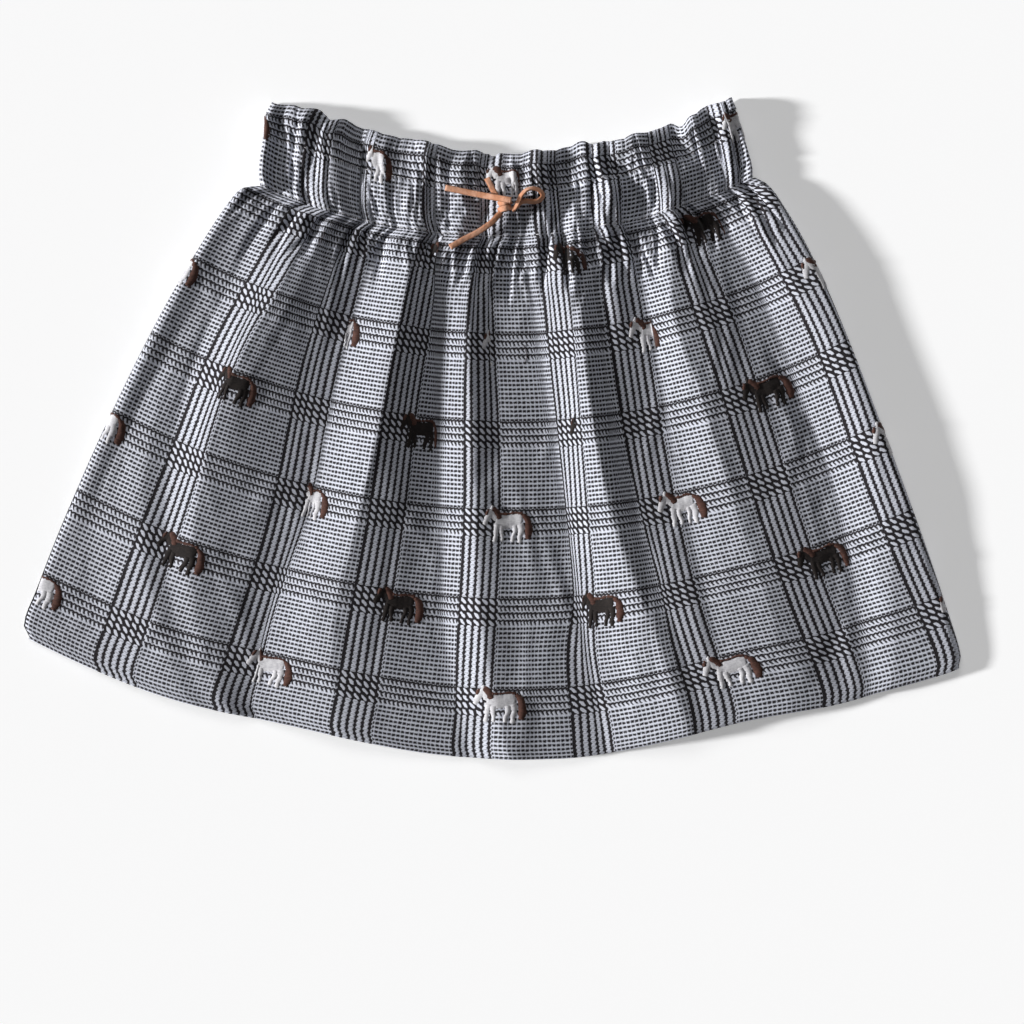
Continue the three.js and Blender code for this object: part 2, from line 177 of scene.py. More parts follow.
@dataclass
class Fan:
    """The skirt's plan: sections of the casing and the panels, and the waves of both edges."""

    apex: Pair = (20.39, 379.22)
    casing: tuple[Section, ...] = (
        Section(242.6, 6.6, -31.2, 25.0, 11.2),
        Section(251.0, 7.0, -31.0, 24.7, 12.0),
        Section(266.0, 7.4, -29.8, 24.3, 12.0),
        Section(279.0, 7.6, -28.7, 23.9, 10.8),
        Section(285.0, 7.7, -27.8, 23.4, 8.8),
    )
    panel: tuple[Section, ...] = (
        Section(285.3, 7.7, -28.1, 23.7, 8.8),
        Section(290.0, 7.5, -29.3, 24.5, 10.0),
        Section(298.0, 7.2, -29.8, 25.0, 10.4),
        Section(325.0, 6.8, -30.1, 25.5, 8.4),
        Section(365.0, 6.2, -30.1, 25.4, 6.2),
        Section(425.0, 5.2, -29.6, 24.8, 4.9),
        Section(485.0, 4.2, -28.9, 24.2, 4.5),
        Section(520.0, 3.6, -28.4, 23.8, 4.8),
        Section(540.0, 2.0, -28.1, 23.5, 4.8),
        Section(545.4, 1.6, -27.4, 23.1, 4.6),
    )
    heading_waves: tuple[Wave, ...] = (
        Wave(0.21, 2.2, 0.13),
        Wave(0.53, -1.2, 0.04),
        Wave(0.63, 1.4, 0.05),
        Wave(0.86, 0.8, 0.03),
        Wave(0.008, -3.6, 0.045),
        Wave(0.095, 2.8, 0.034),
        Wave(0.156, 2.0, 0.028),
        Wave(0.325, 2.6, 0.085),
        Wave(0.432, 1.3, 0.028),
        Wave(0.472, -1.4, 0.014),
        Wave(0.550, 1.5, 0.055),
        Wave(0.660, 2.8, 0.028),
        Wave(0.702, 1.4, 0.020),
        Wave(0.772, 1.0, 0.028),
        Wave(0.875, -2.8, 0.022),
        Wave(0.935, 1.7, 0.045),
    )
    hem_waves: tuple[Wave, ...] = (
        Wave(0.30, 3.8, 0.18),
        Wave(0.77, 7.8, 0.20),
        Wave(0.93, 2.0, 0.08),
    )
    hem_wave_start: float = 430.0
    heading_reach: float = 0.6

    @property
    def top(self) -> float:
        """Radius of the waist edge."""
        return self.casing[0].radius

    @property
    def foot(self) -> float:
        """Radius of the casing's foot."""
        return self.casing[-1].radius

    @property
    def stitching(self) -> float:
        """Radius where the panel starts."""
        return self.panel[0].radius

    @property
    def hem(self) -> float:
        """Radius of the hem."""
        return self.panel[-1].radius

    def section(self, radius: float) -> Section:
        """Read the section at a radius from the table that holds it.

        Args:
            radius: The radius.

        Returns:
            The section there.
        """
        table = self.casing if radius <= self.foot else self.panel
        places = [row.radius for row in table]

        def read(key: str) -> float:
            """Read one column of the table at the radius."""
            return curve_through(places, [getattr(row, key) for row in table], radius)

        return Section(radius, read("lean"), read("left"), read("right"), read("lift"))

    def width(self, section: Section) -> float:
        """Measure a section from side to side."""
        return (section.right - section.left) * DEGREE * section.radius

    def plan(self, section: Section, share: np.ndarray, shift: np.ndarray | float = 0.0) -> np.ndarray:
        """Place shares of a section in plan.

        Args:
            section: The section.
            share: Shares of the way across it.
            shift: Extra radius.

        Returns:
            One row of x and y for each share.
        """
        angle = mix(section.left, section.right, share) * DEGREE
        radius = section.radius + section.lean * (1 - 2 * share) + shift
        x = self.apex[0] + radius * np.sin(angle)
        y = self.apex[1] - radius * np.cos(angle)
        return np.stack([x, y], axis=-1)

    def shift(self, section: Section, share: np.ndarray) -> np.ndarray:
        """Say how far the edges' waves move a section's points along their radius.

        Args:
            section: The section.
            share: Shares of the way across it.

        Returns:
            The shift at each share.
        """
        if section.radius <= self.foot:
            step = (section.radius - self.top) / (self.foot - self.top)
            return -wave_rise(self.heading_waves, share) * (1 - smooth(step / self.heading_reach))
        drawn = smooth((section.radius - self.hem_wave_start) / (self.hem - self.hem_wave_start))
        return -wave_rise(self.hem_waves, share) * drawn


@dataclass
class Relief:
    """The gathers and large folds of the front, as the solids have them, with finer ones."""

    gathers: tuple[Gather, ...] = (
        Gather(0.000, 0.000, 0.0, 10),
        Gather(0.010, 0.028, 1.4, 14),
        Gather(0.088, 0.097, 1.0, 16),
        Gather(0.125, 0.152, 4.6, 46),
        Gather(0.162, 0.192, 2.8, 22),
        Gather(0.194, 0.214, 4.0, 26),
        Gather(0.238, 0.248, 2.4, 18),
        Gather(0.275, 0.272, 3.4, 24),
        Gather(0.306, 0.314, 1.6, 20),
        Gather(0.344, 0.346, 4.6, 42),
        Gather(0.387, 0.385, 1.4, 20),
        Gather(0.426, 0.420, 3.2, 26),
        Gather(0.454, 0.448, 4.2, 44),
        Gather(0.476, 0.476, 2.0, 18),
        Gather(0.531, 0.521, 2.6, 24),
        Gather(0.576, 0.566, 3.6, 30),
        Gather(0.604, 0.598, 3.6, 28),
        Gather(0.659, 0.648, 2.0, 20),
        Gather(0.699, 0.698, 4.6, 38),
        Gather(0.749, 0.730, 3.0, 26),
        Gather(0.802, 0.768, 1.2, 20),
        Gather(0.869, 0.828, 4.4, 32),
        Gather(0.912, 0.928, 5.0, 30),
        Gather(0.980, 0.965, 2.2, 18),
        Gather(1.000, 1.000, 0.0, 10),
    )
    roundness: float = 0.5
    full_roll: float = 0.04
    channel_at: float = 0.42
    channel_reach: float = 0.16
    channel_pull: float = 0.25
    stations: tuple[float, ...] = (296, 330, 375, 430, 485, 546)
    fold_start: float = 14.0
    softness: float = 0.3
    gather_share: float = 0.4
    gather_gain: float = 8.0
    casing_stations: tuple[float, ...] = (249, 259, 268, 281)
    casing_lines: tuple[Line, ...] = (
        Line("rim", (0.012, 0.006, 0.006, 0.010), (13.2, 13.4, 13.4, 13.7)),
        Line("rim foot", (0.030, 0.042, 0.042, 0.046), (11.0, 7.2, 6.9, 6.9)),
        Line("corner", (0.080, 0.086, 0.088, 0.085), (15.6, 14.7, 13.9, 10.8)),
        Line("corner foot", (0.106, 0.108, 0.104, 0.096), (10.1, 10.9, 10.7, 9.1)),
        Line("second", (0.126, 0.130, 0.140, 0.140), (14.0, 14.8, 14.0, 13.4)),
        Line("second foot", (0.180, 0.218, 0.216, 0.230), (6.9, 8.3, 9.4, 7.8)),
        Line("third", (0.238, 0.262, 0.262, 0.262), (11.8, 11.8, 12.3, 10.2)),
        Line("third foot", (0.294, 0.298, 0.288, 0.285), (9.4, 8.8, 10.2, 9.7)),
        Line("fourth", (0.338, 0.340, 0.312, 0.314), (15.9, 11.5, 13.5, 13.2)),
        Line("fourth foot", (0.380, 0.364, 0.360, 0.354), (10.7, 8.8, 8.8, 9.1)),
        Line("fifth", (0.426, 0.416, 0.412, 0.404), (11.6, 12.3, 11.1, 11.9)),
        Line("fifth foot", (0.456, 0.456, 0.464, 0.440), (8.0, 7.5, 7.8, 7.8)),
        Line("bow roll", (0.486, 0.478, 0.502, 0.480), (9.7, 9.9, 12.0, 9.7)),
        Line("bow foot", (0.502, 0.500, 0.536, 0.526), (8.8, 8.8, 8.6, 6.1)),
        Line("sixth", (0.570, 0.564, 0.562, 0.558), (14.2, 12.6, 12.0, 9.4)),
        Line("sixth foot", (0.632, 0.622, 0.612, 0.606), (6.5, 5.3, 5.9, 7.8)),
        Line("seventh", (0.665, 0.662, 0.648, 0.630), (11.5, 12.4, 8.9, 12.9)),
        Line("seventh foot", (0.677, 0.677, 0.664, 0.660), (10.4, 10.7, 7.8, 10.2)),
        Line("eighth", (0.692, 0.696, 0.704, 0.686), (14.3, 14.7, 16.6, 14.3)),
        Line("eighth foot", (0.710, 0.726, 0.748, 0.762), (11.3, 9.1, 8.6, 5.7)),
        Line("ninth", (0.744, 0.792, 0.812, 0.820), (15.3, 13.9, 16.1, 16.4)),
        Line("ninth foot", (0.858, 0.876, 0.898, 0.888), (6.7, 5.7, 8.1, 8.6)),
        Line("tenth", (0.902, 0.908, 0.915, 0.918), (14.3, 10.5, 9.2, 11.0)),
        Line("tenth foot", (0.936, 0.928, 0.932, 0.938), (7.7, 6.7, 5.0, 6.2)),
        Line("corner roll", (0.972, 0.962, 0.956, 0.950), (13.7, 12.9, 10.8, 9.1)),
        Line("last foot", (0.985, 0.980, 0.974, 0.970), (12.9, 10.4, 7.7, 5.0)),
        Line("last", (0.998, 0.998, 0.998, 0.998), (15.6, 14.0, 13.2, 12.4)),
    )
    lines: tuple[Line, ...] = (
        Line("left edge", (0.012, 0.012, 0.012, 0.012, 0.015, 0.020), (10.5, 9.6, 8.4, 6.2, 4.7, 3.8)),
        Line("left edge foot", (0.040, 0.040, 0.036, 0.028, 0.036, 0.096), (9.0, 7.4, 5.6, 4.4, 4.0, 4.9)),
        Line("left crease", (0.055, 0.055, 0.050, 0.060, 0.105, 0.185), (8.6, 6.8, 5.6, 6.8, 9.0, 7.6)),
        Line("overlap foot", (0.070, 0.070, 0.070, 0.090, 0.130, 0.205), (8.4, 6.2, 5.0, 5.8, 7.6, 7.2)),
        Line("overlap", (0.153, 0.145, 0.130, 0.135, 0.160, 0.225), (14.5, 16.0, 15.5, 13.5, 10.2, 7.4)),
        Line("left roll foot", (0.272, 0.263, 0.266, 0.271, 0.251, 0.250), (6.0, 4.6, 4.0, 3.6, 3.6, 3.8)),
        Line("left roll", (0.334, 0.334, 0.334, 0.332, 0.322, 0.342), (14.0, 15.5, 15.5, 14.5, 13.0, 9.5)),
        Line("pleat foot", (0.373, 0.394, 0.412, 0.432, 0.446, 0.480), (7.5, 6.0, 4.8, 4.2, 3.8, 4.3)),
        Line("pleat", (0.436, 0.441, 0.458, 0.474, 0.489, 0.520), (10.5, 11.5, 11.5, 11.5, 11.3, 10.1)),
        Line("pleat far foot", (0.468, 0.473, 0.491, 0.514, 0.533, 0.563), (7.0, 7.0, 7.5, 7.8, 7.4, 7.0)),
        Line("shoulder foot", (0.532, 0.547, 0.568, 0.587, 0.602, 0.621), (5.8, 4.8, 4.0, 3.6, 3.6, 3.8)),
        Line("shoulder", (0.610, 0.617, 0.623, 0.642, 0.676, 0.707), (13.0, 14.5, 15.5, 15.5, 15.2, 12.2)),
        Line("streak foot", (0.647, 0.648, 0.648, 0.671, 0.701, 0.725), (8.5, 9.0, 10.0, 11.5, 12.4, 10.3)),
        Line("streak", (0.681, 0.669, 0.665, 0.696, 0.727, 0.741), (10.0, 9.8, 9.4, 10.0, 11.9, 9.9)),
        Line("slope foot", (0.726, 0.724, 0.726, 0.733, 0.745, 0.754), (6.0, 5.5, 5.4, 7.2, 10.3, 9.2)),
        Line("slope", (0.790, 0.761, 0.775, 0.791, 0.809, 0.815), (11.5, 13.5, 13.5, 12.5, 11.9, 9.5)),
        Line("side roll foot", (0.884, 0.900, 0.908, 0.918, 0.911, 0.901), (6.0, 4.4, 3.8, 3.6, 3.8, 4.1)),
        Line("side roll", (0.931, 0.948, 0.975, 0.975, 0.954, 0.923), (11.5, 13.0, 12.5, 12.5, 10.2, 6.1)),
    )

    def dip(self, share: np.ndarray, step: float, below: float) -> np.ndarray:
        """Say how far the gathers sink the face.

        Args:
            share: Shares of the way across.
            step: Share of the way down the casing, 1 on the panel.
            below: Distance below the stitching, less than zero on the casing.

        Returns:
            The depth at each share.
        """
        places = np.array([mix(g.top, g.foot, step) for g in self.gathers])
        k = np.clip(np.searchsorted(places, share, side="left") - 1, 0, len(places) - 2)
        depth = np.array([g.depth * (1 - smooth(below / g.reach)) for g in self.gathers])
        reach = np.array([g.reach for g in self.gathers])
        width = places[k + 1] - places[k]
        t = np.clip((share - places[k]) / width, 0, 1)
        deep = mix(depth[k], depth[k + 1], t)
        power = self.roundness + max(below, 0) / mix(reach[k], reach[k + 1], t)
        roll = np.sin(np.pi * t).clip(0) ** power
        crown = np.sqrt(np.minimum(width / self.full_roll, 1))
        drawn = smooth(1 - abs(step - self.channel_at) / self.channel_reach)
        strength = mix(self.gather_share, 1.0, smooth(below / self.gather_gain))
        return strength * deep * (1 - roll * crown) * (1 + self.channel_pull * drawn)

    def lift(self, fan: Fan, section: Section, share: np.ndarray) -> np.ndarray:
        """Give the face that the large folds make, on the casing and below it.

        Args:
            fan: The skirt's plan.
            section: The section.
            share: Shares of the way across it.

        Returns:
            The height at each share.
        """
        radius = section.radius
        casing = self.profile(self.casing_lines, self.casing_stations, min(radius, fan.foot), share)
        if radius <= fan.foot:
            return casing
        folded = self.profile(self.lines, self.stations, radius, share)
        return mix(casing, folded, smooth((radius - fan.stitching) / self.fold_start))

    def profile(self, lines: Sequence[Line], stations: Sequence[float], radius: float,
                share: np.ndarray) -> np.ndarray:
        """Join the crests and feet of a table at one radius.

        Args:
            lines: The table's crest and foot lines.
            stations: The radii of its columns.
            radius: The radius.
            share: Shares of the way across.

        Returns:
            The height at each share.
        """
        at = np.array([curve_through(stations, line.at, radius) for line in lines])
        height = np.array([curve_through(stations, line.height, radius) for line in lines])
        at = np.concatenate([[-PAST_EDGE], at, [1 + PAST_EDGE]])
        height = np.concatenate([height[:1], height, height[-1:]])
        k = np.clip(np.searchsorted(at, share) - 1, 0, len(at) - 2)
        t = np.clip((share - at[k]) / (at[k + 1] - at[k]), 0, 1)
        return mix(height[k], height[k + 1], mix(t, smooth(t), self.softness))


@dataclass(frozen=True)
class Pucker:
    """A small ridge: its places at both ends, the radii it runs between, width and height."""

    start: float
    end: float
    above: float
    below: float
    width: float
    height: float


@dataclass
class Ripples:
    """Small seeded ridges and troughs along the folds, uneven in length, width and height."""

    seed: int
    count: int
    middle: Pair
    length: Pair
    width: Pair
    height: Pair
    slant: float
    rows: list[Pucker] = field(default_factory=list)

    def __post_init__(self) -> None:
        """Draw every ridge once."""
        rng = np.random.default_rng(self.seed)
        for _ in range(self.count):
            at = float(rng.uniform(0.01, 0.99))
            middle = float(rng.uniform(*self.middle))
            half = float(rng.uniform(*self.length)) / 2
            lean = float(rng.normal(0.0, self.slant)) * half / 100
            width = float(rng.uniform(*self.width))
            height = float(rng.uniform(*self.height))
            self.rows.append(Pucker(at - lean, at + lean, middle - half, middle + half, width, height))


def ridge_lift(rows: Sequence[Pucker], share: np.ndarray, radius: float) -> np.ndarray:
    """Add up how far small ridges lift the cloth at shares of one radius.

    Args:
        rows: The ridges.
        share: Shares of the way across.
        radius: The radius.

    Returns:
        The lift at each share.
    """
    lift = np.zeros_like(share)
    for row in rows:
        t = (radius - row.above) / (row.below - row.above)
        if 0 < t < 1:
            away = np.abs(share - mix(row.start, row.end, t)) / row.width
            lift += row.height * smooth(1 - away) * math.sin(math.pi * t) ** RIDGE_POWER
    return lift


@dataclass
class Grid:
    """A sheet of cloth as rows of points, with the cloth's own coordinates in millimetres.

    Across runs to the right as the sheet is seen from outside, and along runs up from the
    hem, so their cross product points outwards.
    """

    points: np.ndarray
    across: np.ndarray
    along: np.ndarray

    def __post_init__(self) -> None:
        """Work out the outward normals."""
        right = np.gradient(self.points, axis=1)
        up = -np.gradient(self.points, axis=0)
        normal = np.cross(right, up)
        self.normals = normal / np.linalg.norm(normal, axis=-1, keepdims=True)

    def on_row(self, rows: np.ndarray, across: np.ndarray, raised: np.ndarray) -> np.ndarray:
        """Find points on whole rows, each raised off the cloth.

        Args:
            rows: The row of each point.
            across: Distances from the cloth's left edge.
            raised: Heights above the cloth's face.

        Returns:
            One point for each.
        """
        found = np.empty((len(across), 3))
        last = self.points.shape[1] - 1
        for row in np.unique(rows):
            chosen = rows == row
            column = np.interp(across[chosen], self.across[row], np.arange(last + 1))
            k = np.clip(column.astype(int), 0, last - 1)
            part = (column - k)[:, None]
            place = mix(self.points[row, k], self.points[row, k + 1], part)
            normal = mix(self.normals[row, k], self.normals[row, k + 1], part)
            found[chosen] = place + normal * raised[chosen, None]
        return found

    def place(self, across: np.ndarray, along: np.ndarray,
              raised: np.ndarray | float = 0.0) -> np.ndarray:
        """Find where points given in the cloth's coordinates lie.

        Args:
            across: Distances from the cloth's left edge.
            along: Distances up from the hem.
            raised: Heights above the cloth's face.

        Returns:
            One point for each.
        """
        across = np.asarray(across, dtype=float)
        raised = np.broadcast_to(np.asarray(raised, dtype=float), across.shape)
        count = len(self.along)
        at = np.interp(along, self.along[::-1], np.arange(count, dtype=float)[::-1])
        low = np.clip(at.astype(int), 0, count - 2)
        part = (at - low)[:, None]
        return mix(self.on_row(low, across, raised), self.on_row(low + 1, across, raised), part)


def mesh_object(name: str, points: np.ndarray, faces: np.ndarray,
                uv: np.ndarray | None = None, kinds: np.ndarray | None = None) -> bpy.types.Object:
    """Make a smooth mesh object from points in millimetres.

    Args:
        name: The piece's name.
        points: One row of x, y and z for each vertex.
        faces: The vertices of each face.
        uv: The cloth's coordinates of each vertex in millimetres, if it has them.
        kinds: The material slot of each face, if there are several.

    Returns:
        The object, linked into the scene.
    """
    mesh = bpy.data.meshes.new(name)
    mesh.from_pydata((np.asarray(points) * MM).tolist(), [], np.asarray(faces).tolist())
    if uv is not None:
        layer = mesh.uv_layers.new(name="Surface")
        loops = np.empty(len(mesh.loops), dtype=np.int32)
        mesh.loops.foreach_get("vertex_index", loops)
        layer.data.foreach_set("uv", (uv[loops] * MM).astype(np.float32).ravel())
    if kinds is not None:
        mesh.polygons.foreach_set("material_index", np.asarray(kinds, dtype=np.int32))
    mesh.polygons.foreach_set("use_smooth", [True] * len(mesh.polygons))
    mesh.update()
    thing = bpy.data.objects.new(name, mesh)
    bpy.context.collection.objects.link(thing)
    return thing


def finish_piece(piece: bpy.types.Object, materials: Sequence[bpy.types.Material],
                 nodes: Sequence[str] = ()) -> None:
    """Give a piece its materials, let it ride on the root, and hide the nodes of the part that it stands
    for.

    Args:
        piece: The piece.
        materials: Its materials.
        nodes: The nodes of the part that it stands for.
    """
    for material in materials:
        piece.data.materials.append(material)
    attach(piece, ROOT)
    if nodes:
        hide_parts(*nodes)
    LOG.info("%s: %d faces", piece.name, len(piece.data.polygons))


def grid_faces(rows: int, columns: int, start: int = 0) -> np.ndarray:
    """List the faces of one grid of points, from a first vertex.

    Args:
        rows: Rows of points.
        columns: Points in a row.
        start: The first vertex.

    Returns:
        The vertices of each face.
    """
    r, c = np.meshgrid(np.arange(rows - 1), np.arange(columns - 1), indexing="ij")
    a = (r * columns + c).ravel() + start
    return np.stack([a, a + columns, a + columns + 1, a + 1], axis=1)


def wall_faces(rows: int, columns: int) -> np.ndarray:
    """List the faces of a closed wall between an outer and an inner grid of points.

    Args:
        rows: Rows of points in each grid.
        columns: Points in a row.

    Returns:
        The vertices of each face.
    """
    count = rows * columns
    outer = grid_faces(rows, columns)
    inner = outer[:, ::-1] + count
    side = np.arange(rows - 1) * columns
    left = np.stack([side + count, side + columns + count, side + columns, side], axis=1)
    end = side + columns - 1
    right = np.stack([end, end + columns, end + columns + count, end + count], axis=1)
    first = np.arange(columns - 1)
    start = np.stack([first + count, first, first + 1, first + 1 + count], axis=1)
    last = first + (rows - 1) * columns
    finish = np.stack([last, last + count, last + 1 + count, last + 1], axis=1)
    return np.concatenate([outer, inner, left, right, start, finish])


@dataclass(frozen=True)
class Fall:
    """Where the middle of one check group falls across the skirt, at each station."""

    group: int
    at: tuple[float, ...]


def soften(values: np.ndarray, reach: int) -> np.ndarray:
    """Smooth an array down its rows, with its ends held.

    Args:
        values: The array.
        reach: How many rows the smoothing reaches.

    Returns:
        The smoothed array.
    """
    span = np.arange(-2 * reach, 2 * reach + 1)
    weight = np.exp(-0.5 * (span / reach) ** 2)
    padded = np.pad(values, ((2 * reach, 2 * reach), (0, 0)), mode="edge")
    count = len(values)
    total = sum(w * padded[k:k + count] for k, w in enumerate(weight))
    return total / weight.sum()


@dataclass
class Sheet:
    """One side of the skirt as a closed shell of cloth, whose pattern follows the cloth."""

    fan: Fan
    name: str
    nodes: tuple[str, ...]
    cut_width: float = 500.0
    first_middle: float = 48.8
    stations: tuple[float, ...] = (268, 300, 370, 445, 545)
    right_edge: tuple[float, ...] = (500, 500, 500, 500, 500)
    falls: tuple[Fall, ...] = ()
    thickness: float = 1.2
    hem_thickness: float = 2.1
    hem_turn: float = 25.0
    hem_turn_soft: float = 2.0
    columns: int = 344
    side_roll: float = 4.0
    side_level: float = 1.5
    hidden_share: float = 0.65
    hidden_rows: int = 4
    straight_above: float = 6.0
    calm_rows: int = 12
    even_rows: int = 9
    steepest: float = 12.0
    halvings: int = 24
    fold_depth: float = 3.0
    fold_rows: int = 6
    casing_rows: int = 18
    seam_reach: float = 40.0
    seam_rows: int = 18
    panel_rows: int = 46
    hem_radius: float = 0.0
    grid: Grid | None = None
    length: float = 0.0
    row_radii: list[float] = field(default_factory=list)

    def along_at(self, radius: float) -> float:
        """Find how far up from the hem the cloth's own coordinate is at a radius."""
        return float(np.interp(radius, self.row_radii, self.grid.along))

    def spread(self, row: np.ndarray, radius: float) -> tuple[np.ndarray, np.ndarray]:
        """Give the cloth's coordinate across one row.

        Each check group's middle falls where the table says. Between two of them, most of
        the cloth that the face has no room for is hidden in the feet between the folds, and
        the rest goes where the face is steepest.

        Args:
            row: The points of the row.
            radius: The row's radius.

        Returns:
            The coordinate that shows, and the hidden cloth that is added to it.
        """
        places = [curve_through(self.stations, fall.at, radius) for fall in self.falls]
        cuts = [self.first_middle + REPEAT_ACROSS * fall.group for fall in self.falls]
        knots = np.array([0.0, *places, 1.0])
        cuts = np.array([0.0, *cuts, curve_through(self.stations, self.right_edge, radius)])
        step = np.diff(row, axis=0)
        flat = np.hypot(step[:, 0], step[:, 1])
        share = (np.arange(len(flat)) + 0.5) / len(flat)
        part = np.clip(np.searchsorted(knots, share) - 1, 0, len(knots) - 2)
        length = np.empty_like(flat)
        hidden = np.zeros_like(flat)
        feet = self.feet(radius)
        for k, target in enumerate(np.diff(cuts)):
            inside = part == k
            here = [(int(place * len(flat)), depth) for place, depth in feet
                    if knots[k] < place < knots[k + 1]]
            spare = target - np.hypot(flat[inside], step[inside, 2]).sum()
            spare = max(spare, 0.0) * self.hidden_share if here else 0.0
            for column, depth in here:
                hidden[column] += spare * depth / sum(depth for _, depth in here)
            low, high = 0.0, self.steepest
            for _ in range(self.halvings):
                middle = (low + high) / 2
                shorter = np.hypot(flat[inside], middle * step[inside, 2]).sum() < target - spare
                low, high = (middle, high) if shorter else (low, middle)
            piece = np.hypot(flat[inside], middle * step[inside, 2])
            length[inside] = piece * (target - spare) / piece.sum()
        return np.concatenate([[0], np.cumsum(length)]), np.concatenate([[0], np.cumsum(hidden)])

    def radii(self) -> list[float]:
        """List the radii of the rows, close together where the cloth turns or gathers.

        Returns:
            The radii, from the waist fold to the hem.
        """
        fan = self.fan
        turn = np.linspace(0, math.pi / 2, self.fold_rows)
        fold = fan.top + self.fold_depth * (1 - np.cos(turn))
        casing = np.linspace(fold[-1], fan.foot, self.casing_rows)[1:]
        seam = fan.stitching + np.linspace(0, self.seam_reach, self.seam_rows)
        panel = np.linspace(seam[-1], fan.hem - self.hem_radius, self.panel_rows)[1:]
        return np.concatenate([fold, casing, seam, panel]).tolist()

    def feet(self, radius: float) -> list[Pair]:
        """List the places and depths of the feet that hide cloth at a radius."""
        return []

    def wall(self, radius: float) -> float:
        """Give the cloth's thickness, which is double where the hem is turned in."""
        return mix(self.thickness, self.hem_thickness, self.turned_in(radius))

    def turned_in(self, radius: float) -> float:
        """Say whether a radius is where the hem is turned in: 0 above it, 1 in it."""
        return float(smooth((radius - self.fan.hem + self.hem_turn) / self.hem_turn_soft + 0.5))

    def shell(self, outer: list[np.ndarray], inner: list[np.ndarray]) -> bpy.types.Object:
        """Join the outer and inner rows into a shell with the cloth's coordinates.

        Args:
            outer: The rows of the outside, from the waist to the hem.
            inner: The rows of the inside.

        Returns:
            The shell.
        """
        points = np.array(outer)
        step = np.linalg.norm(np.diff(points, axis=0), axis=-1).mean(axis=1)
        run = np.concatenate([[0], np.cumsum(step)])
        self.length = float(run[-1])
        along = self.length - run
        calm = points.copy()
        calm[..., 2] = soften(points[..., 2], self.calm_rows)
        # The casing is cut in one with the panel, so all its rows take the pattern of one row
        # just above the stitching, and its check runs straight up.
        straight = int(np.searchsorted(self.row_radii, self.fan.foot - self.straight_above))
        rows = [max(n, straight) for n in range(len(calm))]
        spread = np.array([self.spread(calm[n], self.row_radii[n]) for n in rows])
        across = soften(spread[:, 0], self.even_rows) + soften(spread[:, 1], self.hidden_rows)
        self.grid = Grid(points, across, along)
        uv = np.stack([across, np.broadcast_to(along[:, None], across.shape)], axis=-1).reshape(-1, 2)
        both = np.concatenate([points.reshape(-1, 3), np.array(inner).reshape(-1, 3)])
        faces = wall_faces(*across.shape)
        return mesh_object(self.name, both, faces, np.concatenate([uv, uv]))

    def dress(self, piece: bpy.types.Object, cloth: bpy.types.Material, held: str,
              rests_on: Sequence[str]) -> None:
        """Finish the sheet."""
        finish_piece(piece, [cloth], self.nodes)


